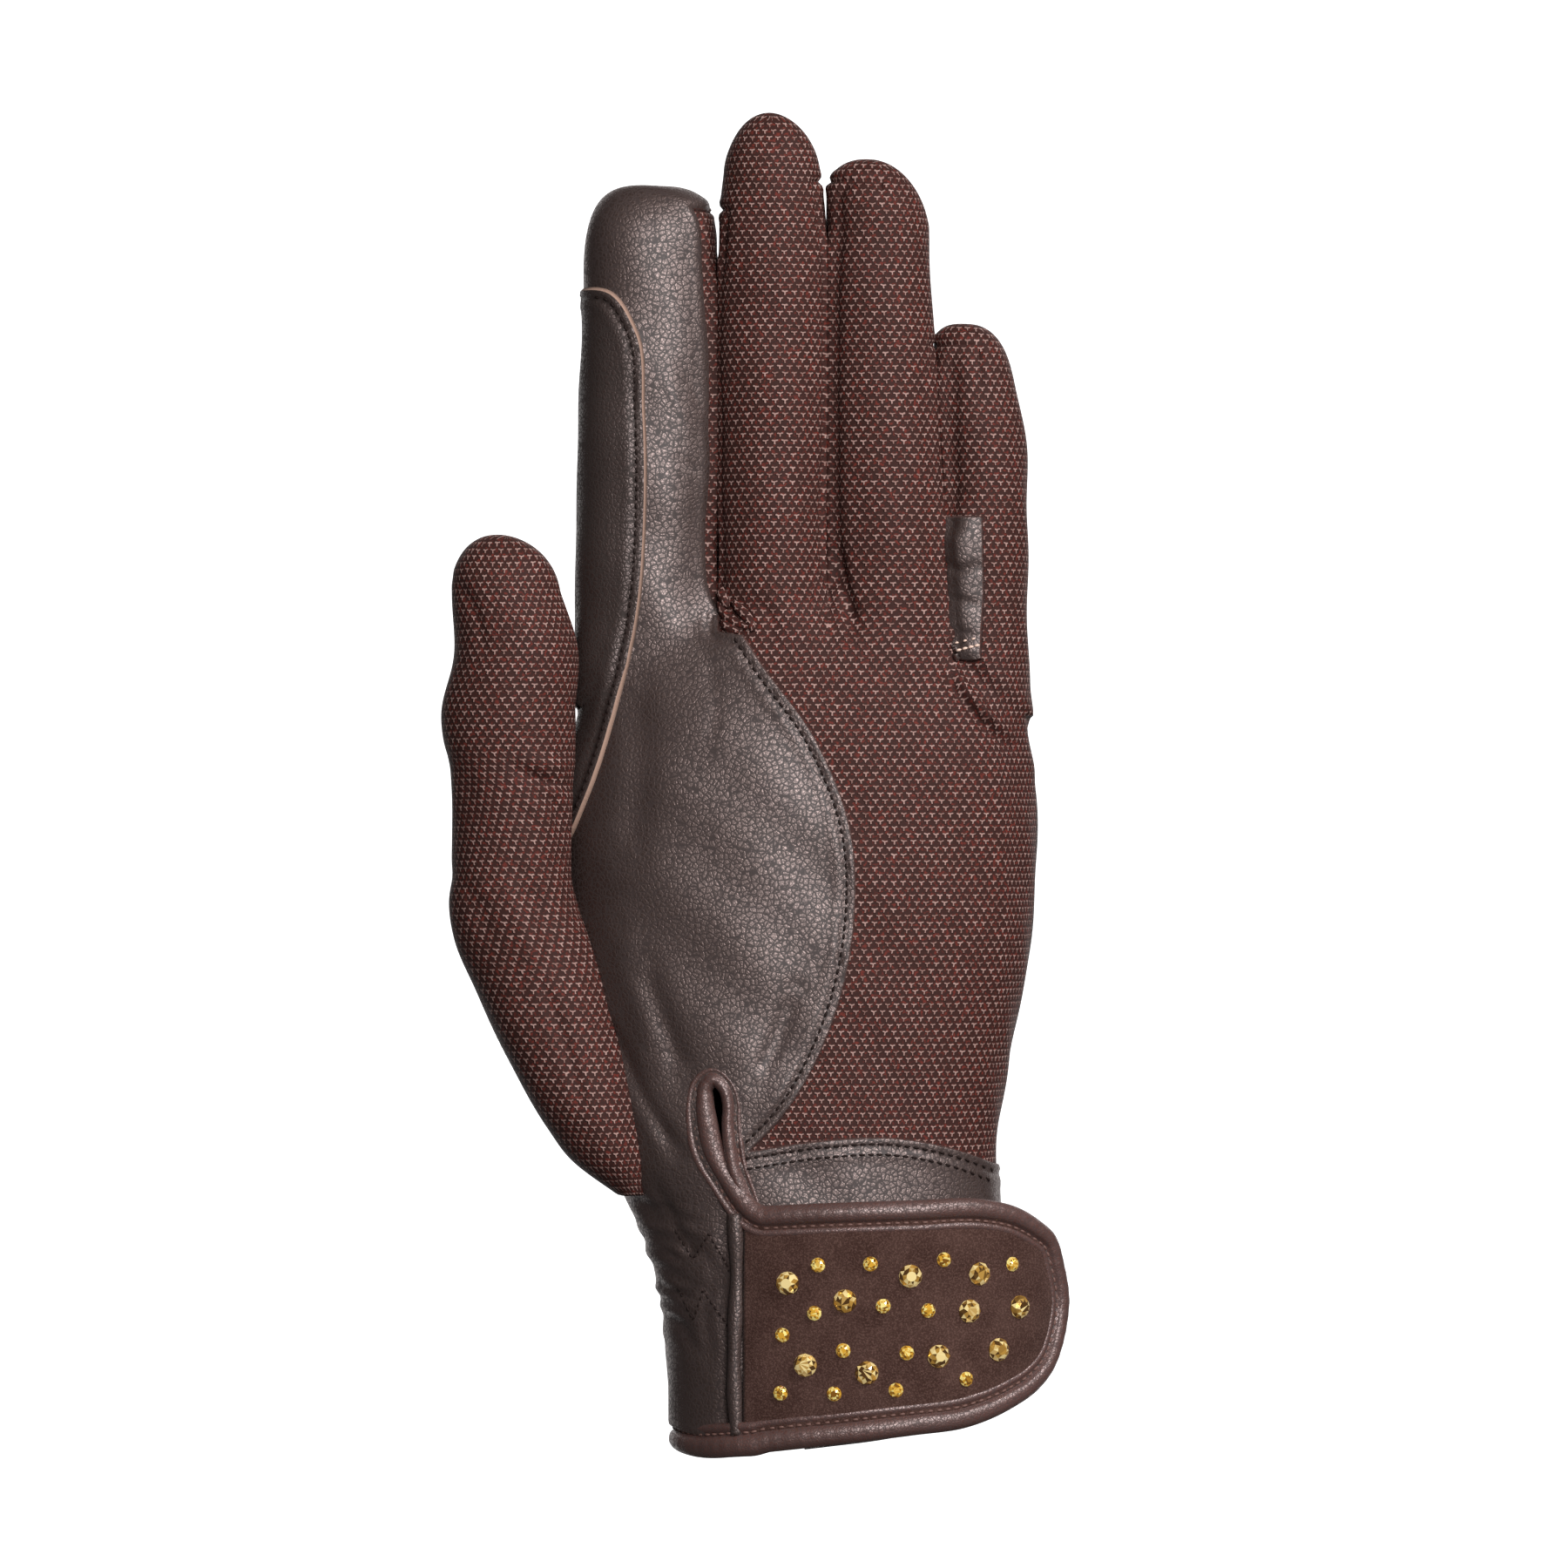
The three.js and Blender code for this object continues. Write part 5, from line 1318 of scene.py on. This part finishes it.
zigzags = [
    [(-26, 15.5), (-23, 10.8), (-20.2, 15.3), (-16.3, 8.7), (-13.6, 15.3)],
    [(-25.5, 5.4), (-23, 0), (-21.2, 5.2), (-16.6, -1.2), (-13.4, 5.2)],
]
seamRows = [
    {"line": offsetLine(crescentLine, 1.4), "lift": 0, "pitch": 1.55, "length": 1.15, "radius": 0.24},
    {"line": offsetLine(sidePatchLine, 1.3), "lift": 0, "pitch": 1.6, "length": 1.15, "radius": 0.22},
    {"line": offsetLine(bandLine, 1.0), "lift": 0, "pitch": 1.55, "length": 1.15, "radius": 0.22},
    {"line": offsetLine(bandLine, 2.8), "lift": 0, "pitch": 1.55, "length": 1.15, "radius": 0.22},
    {"line": zigzags[0], "lift": 0, "pitch": 1.25, "length": 0.95, "radius": 0.17},
    {"line": zigzags[1], "lift": 0, "pitch": 1.25, "length": 0.95, "radius": 0.17},
]
paleRows = [
    {"line": [(24.0, 118.3), (27.2, 119.1)], "lift": 0.1, "pitch": 1.1, "length": 1.0, "radius": 0.26},
    {"line": [(23.6, 119.6), (26.6, 120.3)], "lift": 0.1, "pitch": 1.5, "length": 0.7, "radius": 0.2},
]
edgeStitch = {"every": 3, "across": 0.2, "up": 0.09, "length": 1.2, "radius": 0.24}
groove = np.arange(0, len(edgeTable), edgeStitch["every"])
groove = groove[lip[groove] > 0.75]
middles = edgeTable[groove, :3] + edgeAcross[groove] * edgeStitch["across"] * edgeTable[groove, 6:7]
middles = middles + edgeOut[groove] * edgeStitch["up"] * strapEdging["thickness"]
runs = np.gradient(edgeTable[:, :3], axis=0)[groove]
points, faces = stitchMesh(middles, runs, edgeOut[groove], edgeStitch["length"], edgeStitch["radius"])
place(addMesh("edgeStitches", points, faces), "edging", edgeThreadMaterial)
points, faces = joined([seamStitches(**row) for row in seamRows])
place(addMesh("stitches", points, faces), "edging", shadedThreadMaterial)
print("stitches", len(faces), "triangles")
points, faces = joined([seamStitches(**row) for row in paleRows])
place(addMesh("paleStitches", points, faces), "edging", paleThreadMaterial)

# The pad under the strap keeps its own form.
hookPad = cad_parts["hook_pad"]
hookPad.data.materials.clear()
hookPad.data.materials.append(darkLeatherMaterial)

# White paper far behind the glove, so that the glove can be seen from behind too
paper = {"left": -1700, "right": 1700, "behind": 1900, "low": -1000, "high": 1600}
wallPoints = [
    (paper["left"], paper["behind"], paper["low"]), (paper["right"], paper["behind"], paper["low"]),
    (paper["right"], paper["behind"], paper["high"]), (paper["left"], paper["behind"], paper["high"]),
]
backdrop = addMesh("backdrop", np.array(wallPoints, float), np.array([(0, 1, 2, 3)]))
backdropMaterial, _, shader = newMaterial("paper", (0.93, 0.93, 0.93), 0.9)
shader.inputs["Emission Color"].default_value = (1, 1, 1, 1)
shader.inputs["Emission Strength"].default_value = 1.0
backdrop.data.materials.append(backdropMaterial)

world = bpy.data.worlds.new("studio")
world.use_nodes = True
world.node_tree.nodes["Background"].inputs["Color"].default_value = (1, 1, 1, 1)
world.node_tree.nodes["Background"].inputs["Strength"].default_value = 0.08
bpy.context.scene.world = world


def addLight(name, place, aim, size, watts):
    lamp = bpy.data.lights.new(name, "AREA")
    lamp.shape, lamp.size, lamp.energy = "DISK", size, watts
    light = bpy.data.objects.new(name, lamp)
    light.location = place
    light.rotation_euler = (Vector(aim) - Vector(place)).to_track_quat("-Z", "Y").to_euler()
    bpy.context.scene.collection.objects.link(light)


lights = [
    {"name": "front", "place": (0.26, -1.4, 0.42), "aim": (0, 0, 0.1), "size": 0.6, "watts": 24},
    {"name": "right", "place": (0.9, -0.85, 1.05), "aim": (0, 0, 0.1), "size": 0.5, "watts": 23},
]
for light in lights:
    addLight(**light)

# Places of lights and camera are in metres.
view = {"lens": 200, "sensor": 36, "place": (-0.007, -1.55, 0.0946)}
camera = bpy.data.objects.new("camera", bpy.data.cameras.new("camera"))
camera.data.lens, camera.data.sensor_width = view["lens"], view["sensor"]
camera.location, camera.rotation_euler = view["place"], (math.pi / 2, 0, 0)
bpy.context.scene.collection.objects.link(camera)
bpy.context.scene.camera = camera
bpy.context.scene.view_settings.view_transform = "Standard"

print("lights and camera ready")
